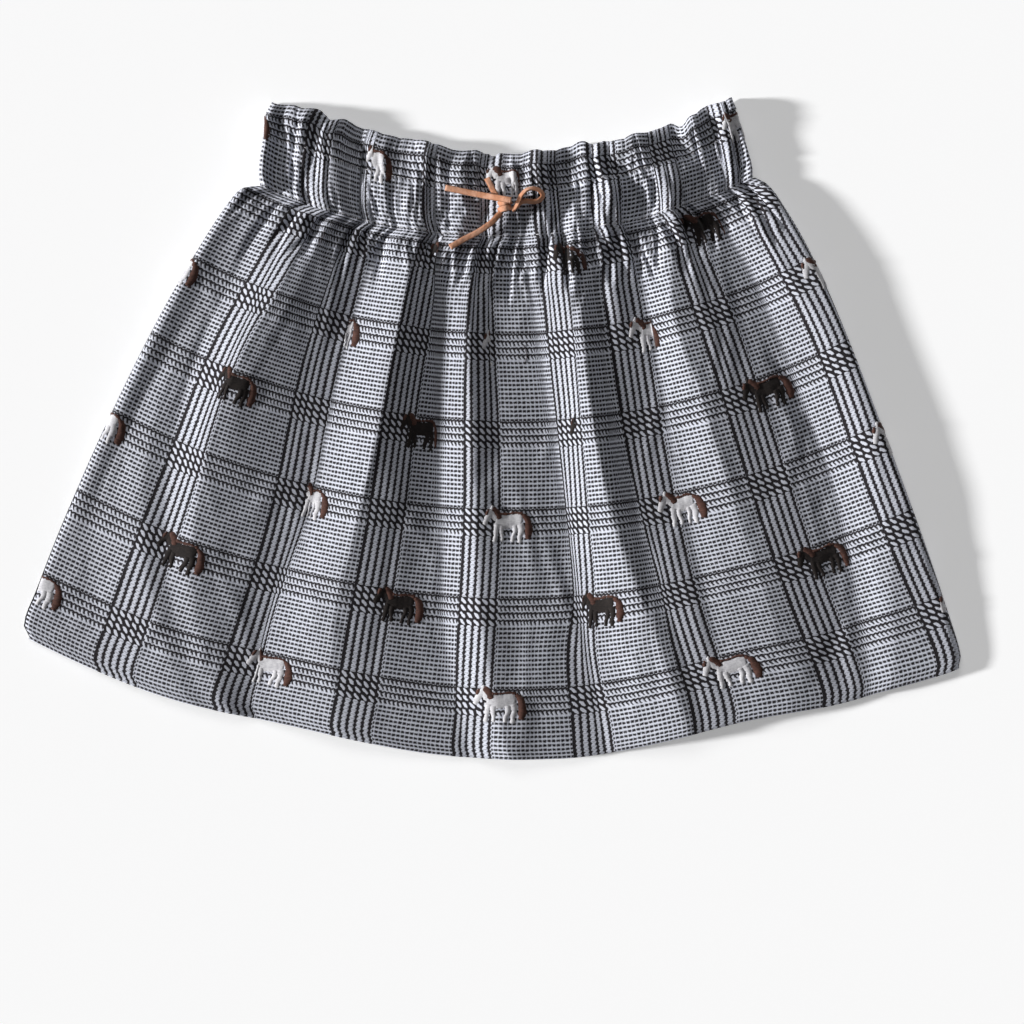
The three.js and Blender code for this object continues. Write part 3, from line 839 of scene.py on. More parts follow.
@dataclass
class FrontCloth(Sheet):
    """The front of the skirt: one cloth that turns over at the waist to make the casing."""

    relief: Relief = field(default_factory=Relief)
    right_edge: tuple[float, ...] = (511, 511, 503, 499, 490)
    falls: tuple[Fall, ...] = (
        Fall(0, (0.117, 0.131, 0.110, 0.111, 0.101)),
        Fall(1, (0.207, 0.225, 0.235, 0.250, 0.227)),
        Fall(2, (0.347, 0.359, 0.362, 0.366, 0.353)),
        Fall(3, (0.465, 0.454, 0.473, 0.484, 0.476)),
        Fall(4, (0.585, 0.576, 0.591, 0.598, 0.605)),
        Fall(5, (0.706, 0.691, 0.689, 0.702, 0.733)),
        Fall(6, (0.829, 0.817, 0.829, 0.845, 0.871)),
        Fall(7, (0.954, 0.962, 0.977, 0.978, 0.992)),
    )
    casing_floor: float = 4.9
    panel_floor: float = 1.8
    inner_room: float = 0.5
    side_room: float = 0.6
    hem_room: float = 0.4
    fold_depth: float = 6.0
    fold_rows: int = 9
    casing_rows: int = 27
    seam_reach: float = 30.0
    seam_rows: int = 22
    panel_rows: int = 64
    turned_rows: int = 5
    turned_reach: Pair = (1.0, 0.1)
    valley_nick: float = 0.5
    nick_reach: float = 0.4
    hem_radius: float = 1.1
    hem_rows: int = 3
    hem_tuck: float = 0.8
    least_wall: float = 0.4
    least_turn: float = 0.1
    puckers: tuple[Pucker, ...] = (
        Pucker(0.155, 0.158, 281, 312, 0.008, -4.1),
        Pucker(0.209, 0.214, 282, 310, 0.009, -3.7),
        Pucker(0.352, 0.364, 283, 314, 0.008, -4.4),
        Pucker(0.408, 0.414, 283, 302, 0.008, -2.7),
        Pucker(0.455, 0.455, 280, 312, 0.008, -4.1),
        Pucker(0.508, 0.498, 281, 316, 0.009, -4.1),
        Pucker(0.566, 0.560, 282, 302, 0.007, -3.1),
        Pucker(0.598, 0.602, 281, 314, 0.009, -4.8),
        Pucker(0.640, 0.640, 286, 308, 0.007, -2.7),
        Pucker(0.694, 0.690, 282, 304, 0.008, -3.4),
        Pucker(0.826, 0.822, 281, 312, 0.009, -4.4),
        Pucker(0.852, 0.858, 278, 310, 0.008, -4.1),
        Pucker(0.207, 0.212, 250, 266, 0.007, -2.7),
        Pucker(0.428, 0.432, 248, 266, 0.007, -2.7),
        Pucker(0.590, 0.594, 250, 270, 0.007, -3.1),
        Pucker(0.706, 0.710, 250, 266, 0.006, -2.7),
        Pucker(0.853, 0.850, 246, 268, 0.008, -3.4),
    )
    ripples: tuple[Ripples, ...] = (
        Ripples(3, 70, (300, 530), (50, 150), (0.006, 0.020), (-0.5, 0.6), 0.03),
        Ripples(12, 150, (300, 535), (16, 60), (0.008, 0.024), (-0.55, 0.6), 0.12),
        Ripples(5, 130, (286, 306), (12, 46), (0.005, 0.012), (-2.6, 1.0), 0.08),
        Ripples(8, 90, (250, 264), (9, 26), (0.004, 0.010), (-1.6, 1.5), 0.10),
        Ripples(21, 46, (262, 268), (30, 46), (0.005, 0.011), (-2.4, 2.2), 0.03),
        Ripples(9, 80, (266, 278), (10, 22), (0.004, 0.010), (-1.6, 0.9), 0.12),
    )

    def feet(self, radius: float) -> list[Pair]:
        """List the feet between the rolls of the casing, or between the folds below it.

        Args:
            radius: The radius.

        Returns:
            The place and depth of each.
        """
        relief = self.relief
        below = float(smooth((radius - self.fan.stitching) / relief.fold_start))
        tables = ((relief.casing_lines, relief.casing_stations, 1 - below, min(radius, self.fan.foot)),
                  (relief.lines, relief.stations, below, radius))
        feet = []
        for lines, stations, strength, reach in tables:
            heights = [curve_through(stations, line.height, reach) for line in lines]
            for k in range(1, len(lines) - 1):
                depth = (heights[k - 1] + heights[k + 1]) / 2 - heights[k]
                if depth > 0 and strength > 0:
                    feet.append((curve_through(stations, lines[k].at, reach), depth * strength))
        return feet

    def face(self, section: Section, share: np.ndarray) -> np.ndarray:
        """Give the height of the cloth's face at shares of a section.

        Args:
            section: The section.
            share: Shares of the way across it.

        Returns:
            The height at each share.
        """
        fan = self.fan
        on_casing = section.radius <= fan.foot
        step = min((section.radius - fan.top) / (fan.foot - fan.top), 1.0)
        floor = self.casing_floor if on_casing else self.panel_floor + self.thickness
        full = self.relief.lift(fan, section, share)
        full = full - self.relief.dip(share, step, section.radius - fan.stitching)
        full = np.maximum(full + self.fine(section.radius, share), floor)
        edge = np.minimum(share, 1 - share) * fan.width(section)
        face = mix(self.side_level, full, quarter_round(edge / self.side_roll))
        if on_casing:
            middle = self.fold_middle(face)
            face = mix(middle, face, quarter_round((section.radius - fan.top) / self.fold_depth))
        return face

    def fine(self, radius: float, share: np.ndarray) -> np.ndarray:
        """Add up the puckers and ripples.

        Args:
            radius: The radius.
            share: Shares of the way across.

        Returns:
            The lift at each share.
        """
        lift = ridge_lift(self.puckers, share, radius)
        for ripples in self.ripples:
            lift += ridge_lift(ripples.rows, share, radius)
        return lift

    def fold_middle(self, face: np.ndarray) -> np.ndarray:
        """Give the height of the waist fold's edge under a face."""
        return mix(np.minimum(self.casing_floor, face), face, 0.5)

    def under_floor(self, radius: float, share: np.ndarray, section: Section) -> np.ndarray:
        """Give the lowest that the cloth's inside lies.

        Args:
            radius: The radius.
            share: Shares of the way across.
            section: The section there.

        Returns:
            The height at each share.
        """
        floor = self.casing_floor if radius <= self.fan.foot else self.panel_floor
        floor -= self.inner_room
        floor += self.hem_room * self.turned_in(radius)
        edge = np.minimum(share, 1 - share) * self.fan.width(section)
        return mix(self.side_level - self.side_room, floor, smooth(edge / self.side_roll))

    def turned_under(self, share: np.ndarray) -> tuple[list[np.ndarray], list[np.ndarray]]:
        """Make the rows that come up from inside the waist, round the fold, to its edge.

        Args:
            share: Shares of the way across.

        Returns:
            The outer and the inner rows.
        """
        fan = self.fan
        edge_section = fan.section(fan.top)
        shift = self.nicked(edge_section, share, 0.0)
        flat_face = self.face(fan.section(fan.top + self.fold_depth), share)
        middle = self.fold_middle(flat_face)
        low = np.minimum(self.casing_floor, flat_face - self.thickness)
        outer, inner = [], []
        for turn in np.linspace(-math.pi / 2, 0, self.turned_rows + 1)[:-1]:
            reach = self.fold_depth * (1 - math.cos(turn))
            inside = self.fold_depth - (self.fold_depth - self.thickness) * math.cos(turn)
            height = middle + (middle - low) * math.sin(turn)
            room = np.maximum(middle - low - self.thickness, self.least_turn)
            inner_height = middle + room * math.sin(turn)
            outer.append(self.row(edge_section, share, shift + reach, height))
            inner.append(self.row(edge_section, share, shift + inside, inner_height))
        return outer, inner

    def nicked(self, section: Section, share: np.ndarray, step: float) -> np.ndarray:
        """Say how far waves and nicks move a section's points along their radius.

        Args:
            section: The section.
            share: Shares of the way across it.
            step: Share of the way down the casing.

        Returns:
            The shift at each share.
        """
        shift = self.fan.shift(section, share)
        if section.radius > self.fan.foot:
            return shift
        nick = self.valley_nick * (1 - smooth(step / self.nick_reach))
        return shift + nick * self.relief.dip(share, step, 0.0)

    def row(self, section: Section, share: np.ndarray, shift: np.ndarray,
            height: np.ndarray) -> np.ndarray:
        """Make one row of points."""
        return np.column_stack([self.fan.plan(section, share, shift), height])

    def build(self) -> bpy.types.Object:
        """Make the shell.

        Returns:
            The shell.
        """
        fan = self.fan
        share = np.linspace(0, 1, self.columns + 1)
        outer, inner = self.turned_under(share)
        # The turned rows lie inside the waist. Their radii only keep the list rising.
        first, last = self.turned_reach
        self.row_radii = np.linspace(fan.top - first, fan.top - last, len(outer)).tolist()
        self.row_radii += self.radii()
        turned_face = self.face(fan.section(fan.top + self.fold_depth), share)
        for radius in self.radii():
            section = fan.section(radius)
            step = min((radius - fan.top) / (fan.foot - fan.top), 1.0)
            shift = self.nicked(section, share, step)
            face = self.face(section, share)
            slope = np.gradient(face, share * fan.width(section))
            floor = self.under_floor(radius, share, section)
            wall = self.wall(radius)
            under = np.maximum(face - wall * np.hypot(1, slope), floor)
            under = np.minimum(under, face - self.least_wall)
            inward = 0.0
            if radius < fan.top + self.fold_depth:
                turn = math.acos(1 - (radius - fan.top) / self.fold_depth)
                inward = self.thickness * math.cos(turn)
                middle = self.fold_middle(turned_face)
                under = np.maximum(under, mix(middle, under, quarter_round(math.sin(turn))))
            outer.append(self.row(section, share, shift, face))
            inner.append(self.row(section, share, shift + inward, under))
        for turn in np.linspace(0, math.pi / 2, self.hem_rows + 1)[1:]:
            out = self.hem_radius * math.sin(turn)
            drop = self.hem_radius * (1 - math.cos(turn))
            self.row_radii.append(radius + out)
            outer.append(self.row(section, share, shift + out, face - drop))
            inner.append(self.row(section, share, shift + out, under + drop * self.hem_tuck))
        return self.shell(outer, inner)


@dataclass
class BackCloth(Sheet):
    """The back of the skirt, which lies flat on the table, with its casing and gathers."""

    thickness: float = 0.85
    hem_thickness: float = 1.2
    clear: float = 0.4
    let_out: float = 4.0
    seed: int = 21
    gathers: int = 24
    casing_top: float = 4.4
    gather_depth: Pair = (0.8, 2.2)
    gather_reach: Pair = (14.0, 60.0)
    gather_stray: float = 0.3
    gather_breadth: float = 3.0
    gather_spread: float = 0.06
    highest_hollow: float = 2.6
    edge_round: float = 1.1
    roundness: float = 0.9
    creases: tuple[Pucker, ...] = (
        Pucker(0.17, 0.20, 300, 470, 0.016, 0.9),
        Pucker(0.31, 0.29, 290, 410, 0.014, 1.0),
        Pucker(0.45, 0.47, 320, 540, 0.020, 0.8),
        Pucker(0.60, 0.57, 300, 450, 0.014, 0.9),
        Pucker(0.72, 0.74, 290, 500, 0.018, 1.0),
        Pucker(0.86, 0.90, 310, 530, 0.016, 0.8),
    )
    ripples: Ripples = field(
        default_factory=lambda: Ripples(31, 60, (290, 480), (40, 130), (0.006, 0.016), (0.1, 0.5), 0.03))

    def valleys(self) -> tuple[np.ndarray, np.ndarray, np.ndarray]:
        """Draw the gathers' places, depths and reaches once, from the seed.

        Returns:
            The places, the depths and the reaches.
        """
        rng = np.random.default_rng(self.seed)
        stray = rng.uniform(-self.gather_stray, self.gather_stray, self.gathers)
        places = (np.arange(self.gathers) + 0.5 + stray) / self.gathers
        depths = rng.uniform(*self.gather_depth, self.gathers)
        return places, depths, rng.uniform(*self.gather_reach, self.gathers)

    def feet(self, radius: float) -> list[Pair]:
        """List the gathers that hide cloth, which is let out over their reach."""
        below = max(radius - self.fan.foot, 0.0)
        return [(1 - place, depth * (1 - float(smooth(below / (self.let_out * reach)))))
                for place, depth, reach in zip(*self.valleys())]

    def hollow(self, share: np.ndarray, radius: float, width: float) -> np.ndarray:
        """Say how far the cloth's outside is off the table.

        Args:
            share: Shares of the way across.
            radius: The radius.
            width: The width there.

        Returns:
            The height at each share.
        """
        below = max(radius - self.fan.foot, 0.0)
        breadth = (self.gather_breadth + below * self.gather_spread) / width
        lift = np.zeros_like(share)
        for place, depth, reach in zip(*self.valleys()):
            strength = depth * (1 - float(smooth(below / reach)))
            lift += strength * smooth(1 - np.abs(share - place) / breadth)
        lift += ridge_lift(self.creases, share, radius)
        lift += ridge_lift(self.ripples.rows, share, radius)
        return lift

    def build(self) -> bpy.types.Object:
        """Make the shell, with its outside below.

        Returns:
            The shell.
        """
        fan = self.fan
        share = np.linspace(1, 0, self.columns + 1)
        outer, inner = [], []
        self.row_radii = self.radii()
        for radius in self.row_radii:
            section = fan.section(radius)
            width = fan.width(section)
            edge = np.minimum(share, 1 - share) * width
            turned = 1 - quarter_round(edge / self.edge_round)
            sunk = np.minimum(self.hollow(share, radius, width), self.highest_hollow)
            low = np.maximum(sunk, self.edge_round * turned * self.roundness) + self.clear
            high = low + self.wall(radius)
            if radius <= fan.foot:
                casing = mix(self.side_level, self.casing_top, quarter_round(edge / self.side_roll))
                high = np.maximum(high, casing)
                rounded = 1 - quarter_round((radius - fan.top) / self.fold_depth)
                middle = (low + high) / 2
                low = mix(low, middle, rounded * self.roundness)
                high = mix(high, middle, rounded * self.roundness)
            plan = fan.plan(section, share, fan.shift(section, share))
            outer.append(np.column_stack([plan, low]))
            inner.append(np.column_stack([plan, high]))
        return self.shell(outer, inner)


class Thread(Enum):
    """The threads of the motifs, in the order of their materials."""

    WHITE = 0
    BROWN = 1
    BLACK = 2


@dataclass(frozen=True)
class Stroke:
    """A stretch of thread work along a line that swells and narrows."""

    thread: Thread
    line: tuple[Spot, ...]


@dataclass(frozen=True)
class Covered:
    """The stretch across one horse that a fold covers, from the horse's middle."""

    group: int
    band: int
    start: float
    end: float


@dataclass
class Horses:
    """Small grazing horses on the check, in rows that step like bricks.

    A stroke's line has x to the right, y up and the half width, in millimetres from the
    middle of the horse.
    """

    sheet: Sheet
    seed: int = 5
    groups: int = 9
    first_across: float = -0.3
    covered: tuple[Covered, ...] = (
        Covered(1, 5, -13, 13),
        Covered(2, 2, -13, -8),
        Covered(2, 4, -13, -4),
        Covered(3, 5, -3, 13),
        Covered(4, 4, -6, 13),
        Covered(5, 3, -8, 13),
        Covered(6, 6, -13, 13),
    )
    first_along: float = 29.0
    side_margin: float = 0.3
    hem_margin: float = 0.5
    thread_height: float = 0.34
    sample: float = 0.55
    ragged: float = 0.2
    layer_height: float = 0.03
    size: float = 1.12
    spans: tuple[float, ...] = (-1.0, -0.75, 0.0, 0.75, 1.0)
    edge_drop: float = 1.5
    end_drop: float = 0.15
    least_steps: int = 3
    coat: tuple[tuple[Spot, ...], ...] = (
        ((-5.4, 1.6, 2.7), (-2.0, 0.9, 3.5), (2.4, 1.0, 3.3), (6.2, 1.4, 3.7), (7.8, 1.2, 2.6)),
        ((-3.4, 2.2, 2.6), (-5.8, 3.9, 2.4), (-7.6, 5.4, 1.9), (-8.4, 6.2, 1.2)),
        ((-7.2, 5.6, 1.7), (-8.8, 3.6, 1.8), (-10.2, 1.2, 1.5), (-11.0, -0.8, 1.2)),
        ((-7.6, 6.0, 0.9), (-7.3, 7.2, 0.7), (-7.0, 8.2, 0.4)),
        ((-4.4, 0.2, 1.9), (-5.0, -3.2, 1.4), (-5.2, -6.0, 1.1), (-5.8, -8.4, 1.1)),
        ((-2.4, -0.6, 1.6), (-2.4, -3.8, 1.2), (-1.8, -6.4, 0.9), (-2.3, -8.0, 0.9)),
        ((6.4, 0.2, 2.2), (7.2, -3.0, 1.6), (6.6, -5.6, 1.2), (6.8, -8.6, 1.2)),
        ((4.2, -0.4, 1.8), (4.4, -3.4, 1.3), (3.4, -5.8, 1.0), (3.2, -8.2, 1.0)),
    )
    mane: tuple[tuple[Spot, ...], ...] = (
        ((-7.2, 7.0, 1.0), (-5.6, 5.8, 1.7), (-4.0, 3.6, 1.9), (-3.0, 1.8, 1.2)),
        ((-3.4, 4.4, 0.8), (0.6, 4.4, 0.6), (4.6, 4.9, 0.6), (8.0, 4.4, 0.8)),
        ((-8.8, 6.4, 0.6), (-9.6, 5.0, 0.8), (-10.2, 3.4, 0.6)),
        ((7.6, 4.2, 0.9), (9.8, 2.2, 1.6), (10.8, -0.8, 2.1), (11.0, -4.0, 2.1), (10.4, -7.0, 1.2)),
    )

    def build(self) -> bpy.types.Object:
        """Lay every horse that the cloth shows, as one piece.

        Returns:
            The piece.
        """
        rng = np.random.default_rng(self.seed)
        points, faces, uvs, kinds = [], [], [], []
        count = 0
        bands = int((self.sheet.length - self.first_along) / REPEAT_ALONG) + 1
        for group in range(self.groups):
            coat = Thread.WHITE if group % 2 == 0 else Thread.BLACK
            strokes = [Stroke(coat, line) for line in self.coat]
            strokes += [Stroke(Thread.BROWN, line) for line in self.mane]
            for band in range(group % 2, bands, 2):
                across = self.first_across + group * REPEAT_ACROSS
                along = self.first_along + band * REPEAT_ALONG
                for layer, stroke in enumerate(strokes):
                    rows, uv = self.strip(stroke, across, along, layer, rng)
                    count_rows, columns = rows.shape[:2]
                    shown = self.on_cloth(uv)
                    for fold in self.covered:
                        if (fold.group, fold.band) == (group, band):
                            reach = uv[..., 0].ravel() - across
                            shown &= (reach < fold.start) | (reach > fold.end)
                    shown = shown[grid_faces(count_rows, columns)].all(axis=1)
                    faces.append(grid_faces(count_rows, columns, count)[shown])
                    kinds += [stroke.thread.value] * len(faces[-1])
                    points.append(rows.reshape(-1, 3))
                    uvs.append(uv.reshape(-1, 2))
                    count += count_rows * columns
        return mesh_object(f"{self.sheet.name}_horses", np.concatenate(points),
                           np.concatenate(faces), np.concatenate(uvs), np.array(kinds))

    def on_cloth(self, uv: np.ndarray) -> np.ndarray:
        """Say which of a stroke's points lie within the cloth's edges.

        Args:
            uv: The points' cloth coordinates.

        Returns:
            Whether each does.
        """
        grid = self.sheet.grid
        across, along = uv[..., 0].ravel(), uv[..., 1].ravel()
        right = np.interp(along, grid.along[::-1], grid.across[::-1, -1])
        beside = (across > self.side_margin) & (across < right - self.side_margin)
        return beside & (along > self.hem_margin) & (along < self.sheet.length)

    def strip(self, stroke: Stroke, across: float, along: float, layer: int,
              rng: np.random.Generator) -> tuple[np.ndarray, np.ndarray]:
        """Make one stroke's grid of points on the cloth.

        Args:
            stroke: The stroke.
            across: The horse's middle across the cloth.
            along: The horse's middle up from the hem.
            layer: The stroke's turn, which lays it a little higher.
            rng: Gives the uneven edges.

        Returns:
            The points, and their cloth coordinates.
        """
        line = np.array(stroke.line) * self.size
        gaps = np.hypot(*np.diff(line[:, :2], axis=0).T)
        run = np.concatenate([[0], np.cumsum(gaps)]).tolist()
        steps = max(int(run[-1] / self.sample), self.least_steps)
        rows = np.array([[curve_through(run, line[:, n].tolist(), place) for n in range(3)]
                         for place in np.linspace(0, run[-1], steps + 1)])
        way = np.gradient(rows[:, :2], axis=0)
        way /= np.linalg.norm(way, axis=1, keepdims=True)
        left = np.column_stack([-way[:, 1], way[:, 0]])
        spans = np.array(self.spans)
        half = rows[:, 2] + rng.normal(0, self.ragged, len(rows))
        flat = rows[:, None, :2] + left[:, None] * (spans[None, :] * half[:, None])[..., None]
        flat += np.array([across, along])
        heights = (self.thread_height + layer * self.layer_height) * (1 - spans ** 4 * self.edge_drop)
        raised = np.broadcast_to(heights, flat.shape[:2]).copy()
        raised[[0, -1]] = -self.end_drop
        placed = self.sheet.grid.place(flat[..., 0].ravel(), flat[..., 1].ravel(), raised.ravel())
        return placed.reshape(*flat.shape[:2], 3), flat


@dataclass
class StitchRows:
    """Rows of small machine stitches, laid along a path on the cloth by Geometry Nodes."""

    pitch: float = 3.0
    length: float = 2.1
    radius: float = 0.24
    raised: float = 0.12
    seed: int = 4
    vary: Pair = (0.75, 1.1)
    path_step: float = 0.8
    margin: float = 1.0
    above_foot: float = 1.2

    def tree(self, thread: bpy.types.Material) -> tuple[bpy.types.NodeTree, dict[str, str]]:
        """Build the node tree that sets a stitch at each step of a path.

        Args:
            thread: The stitches' material.

        Returns:
            The tree, and the identifier of each named input.
        """
        tree = bpy.data.node_groups.new("stitch_row", "GeometryNodeTree")
        sockets = tree.interface
        sockets.new_socket("Geometry", in_out="INPUT", socket_type="NodeSocketGeometry")
        keys = {name: sockets.new_socket(name, in_out="INPUT", socket_type="NodeSocketFloat").identifier
                for name in ("Pitch", "Length", "Radius")}
        sockets.new_socket("Geometry", in_out="OUTPUT", socket_type="NodeSocketGeometry")
        add = tree.nodes.new
        source = add("NodeGroupInput")
        result = add("NodeGroupOutput")
        path = add("GeometryNodeMeshToCurve")
        steps = add("GeometryNodeCurveToPoints")
        steps.mode = "LENGTH"
        size = add("ShaderNodeCombineXYZ")
        shape = add("GeometryNodeTransform")
        ball = add("GeometryNodeMeshUVSphere")
        ball.inputs["Segments"].default_value = 6
        ball.inputs["Rings"].default_value = 4
        ball.inputs["Radius"].default_value = 1.0
        vary = add("FunctionNodeRandomValue")
        vary.data_type = "FLOAT"
        vary.inputs[2].default_value = self.vary[0]
        vary.inputs[3].default_value = self.vary[1]
        vary.inputs["Seed"].default_value = self.seed
        spread = add("GeometryNodeInstanceOnPoints")
        real = add("GeometryNodeRealizeInstances")
        smooth_shade = add("GeometryNodeSetShadeSmooth")
        dress = add("GeometryNodeSetMaterial")
        dress.inputs["Material"].default_value = thread
        for one, two in (
            (source.outputs["Geometry"], path.inputs["Mesh"]),
            (path.outputs["Curve"], steps.inputs["Curve"]),
            (source.outputs["Pitch"], steps.inputs["Length"]),
            (source.outputs["Radius"], size.inputs["X"]),
            (source.outputs["Radius"], size.inputs["Y"]),
            (source.outputs["Length"], size.inputs["Z"]),
            (ball.outputs["Mesh"], shape.inputs["Geometry"]),
            (size.outputs[0], shape.inputs["Scale"]),
            (steps.outputs["Points"], spread.inputs["Points"]),
            (shape.outputs["Geometry"], spread.inputs["Instance"]),
            (steps.outputs["Rotation"], spread.inputs["Rotation"]),
            (vary.outputs[1], spread.inputs["Scale"]),
            (spread.outputs["Instances"], real.inputs["Geometry"]),
            (real.outputs["Geometry"], smooth_shade.inputs["Geometry"]),
            (smooth_shade.outputs["Geometry"], dress.inputs["Geometry"]),
            (dress.outputs["Geometry"], result.inputs["Geometry"]),
        ):
            tree.links.new(one, two)
        return tree, keys

    def build(self, sheet: Sheet, radii: Sequence[float], thread: bpy.types.Material) -> None:
        """Sew rows of stitches at some radii of a sheet.

        Args:
            sheet: The sheet.
            radii: The radius of each row.
            thread: The stitches' material.
        """
        tree, keys = self.tree(thread)
        across = np.arange(self.margin, sheet.cut_width - self.margin, self.path_step)
        points, edges = [], []
        for radius in radii:
            along = np.full_like(across, sheet.along_at(radius))
            start = sum(len(row) for row in points)
            points.append(sheet.grid.place(across, along, self.raised))
            edges += [(start + k, start + k + 1) for k in range(len(across) - 1)]
        mesh = bpy.data.meshes.new("path")
        mesh.from_pydata((np.concatenate(points) * MM).tolist(), edges, [])
        path = bpy.data.objects.new("path", mesh)
        bpy.context.collection.objects.link(path)
        modifier = path.modifiers.new("stitches", "NODES")
        modifier.node_group = tree
        for name, value in (("Pitch", self.pitch), ("Length", self.length / 2), ("Radius", self.radius)):
            modifier[keys[name]] = value * MM
        evaluated = path.evaluated_get(bpy.context.evaluated_depsgraph_get())
        sewn = bpy.data.objects.new(f"{sheet.name}_stitches", bpy.data.meshes.new_from_object(evaluated))
        bpy.context.collection.objects.link(sewn)
        bpy.data.objects.remove(path)
        finish_piece(sewn, [])


def tube_faces(rings: int, sides: int) -> np.ndarray:
    """List the faces of a closed tube of rings of points, with both ends filled.

    Args:
        rings: Rings along the tube.
        sides: Points round each ring.

    Returns:
        The vertices of each face.
    """
    faces = []
    for k in range(rings - 1):
        for n in range(sides):
            m = (n + 1) % sides
            faces.append([k * sides + n, k * sides + m, (k + 1) * sides + m, (k + 1) * sides + n])
    for first, order in ((0, -1), ((rings - 1) * sides, 1)):
        ring = list(range(first, first + sides))[::order]
        faces += [[ring[0], ring[n], ring[n + 1], ring[n + 2]] for n in range(1, sides - 2, 2)]
    return np.array(faces)


def ribbon(route: np.ndarray, tilt: np.ndarray, width: float, thickness: float,
           sides: int = 12) -> tuple[np.ndarray, np.ndarray, np.ndarray]:
    """Make a closed flat ribbon with soft edges along a route.

    Args:
        route: The middle line's points.
        tilt: The turn about the line at each point, in degrees from lying flat.
        width: The ribbon's width.
        thickness: Its thickness.
        sides: Points round the section.

    Returns:
        The points, the faces, and the coordinates along and round it.
    """
    way = np.gradient(route, axis=0)
    way /= np.linalg.norm(way, axis=1, keepdims=True)
    side = np.cross(way, [0.0, 0.0, 1.0])
    side /= np.linalg.norm(side, axis=1, keepdims=True)
    up = np.cross(side, way)
    turn = (np.arange(sides) + 0.5) * 2 * math.pi / sides
    wide = width / 2 * np.sign(np.cos(turn)) * np.abs(np.cos(turn)) ** RIBBON_EDGE_POWER
    thick = thickness / 2 * np.sign(np.sin(turn)) * np.abs(np.sin(turn)) ** RIBBON_FACE_POWER
    lean = (tilt * DEGREE)[:, None]
    x = wide * np.cos(lean) - thick * np.sin(lean)
    y = wide * np.sin(lean) + thick * np.cos(lean)
    points = route[:, None] + side[:, None] * x[..., None] + up[:, None] * y[..., None]
    run = np.concatenate([[0], np.cumsum(np.linalg.norm(np.diff(route, axis=0), axis=1))])
    uv = np.stack(np.broadcast_arrays(run[:, None], wide[None, :]), axis=-1)
    return points.reshape(-1, 3), tube_faces(len(route), sides), uv.reshape(-1, 2)


def smooth_route(route: Sequence[Sequence[float]], count: int) -> np.ndarray:
    """Run a smooth curve through the points of a route.

    Args:
        route: The points to run through.
        count: How many points the curve has.

    Returns:
        The curve's points.
    """
    line = np.array(route, dtype=float)
    run = np.concatenate([[0], np.cumsum(np.linalg.norm(np.diff(line, axis=0), axis=1))]).tolist()
    return np.array([[curve_through(run, line[:, n].tolist(), place) for n in range(line.shape[1])]
                     for place in np.linspace(0, run[-1], count)])


@dataclass(frozen=True)
class Lace:
    """A free length of the flat suede lace.

    Each row of its route is across and along from the knot, the height above the table, and
    the tilt in degrees.
    """

    node: str
    route: tuple[Bend, ...]
    far_end: str
    knot: Pair = (6.5, 109.7)
    width: float = 3.2
    thickness: float = 1.3
    uneven: float = 0.05
    seed: int = 8
    sample: float = 0.7
    least_rings: int = 16
    fine_points: int = 80

    def middle(self, count: int = 24) -> np.ndarray:
        """Give the route's points and tilts, in the skirt's own frame."""
        return smooth_route(self.route, count) + np.array([*self.knot, 0.0, 0.0])

    def length(self) -> float:
        """Measure the route."""
        line = self.middle(self.fine_points)[:, :3]
        return float(np.linalg.norm(np.diff(line, axis=0), axis=1).sum())

    def build(self, suede: bpy.types.Material) -> bpy.types.Object:
        """Make the lace in its node's place.

        Args:
            suede: Its material.

        Returns:
            The piece.
        """
        line = self.middle(max(int(self.length() / self.sample), self.least_rings))
        points, faces, uv = ribbon(line[:, :3], line[:, 3], self.width, self.thickness)
        rng = np.random.default_rng(self.seed)
        points = points + rng.normal(0, self.uneven, points.shape)
        piece = mesh_object(self.node.replace("bow", "lace"), points, faces, uv)
        finish_piece(piece, [suede], [self.node])
        return piece

    def declare(self, piece: bpy.types.Object, with_pieces: Sequence[bpy.types.Object] = ()) -> None:
        """Work out the lace's path and length in metres, which nothing here uses."""
        path = (self.middle()[:, :3] * MM).tolist()
        self.length() * MM


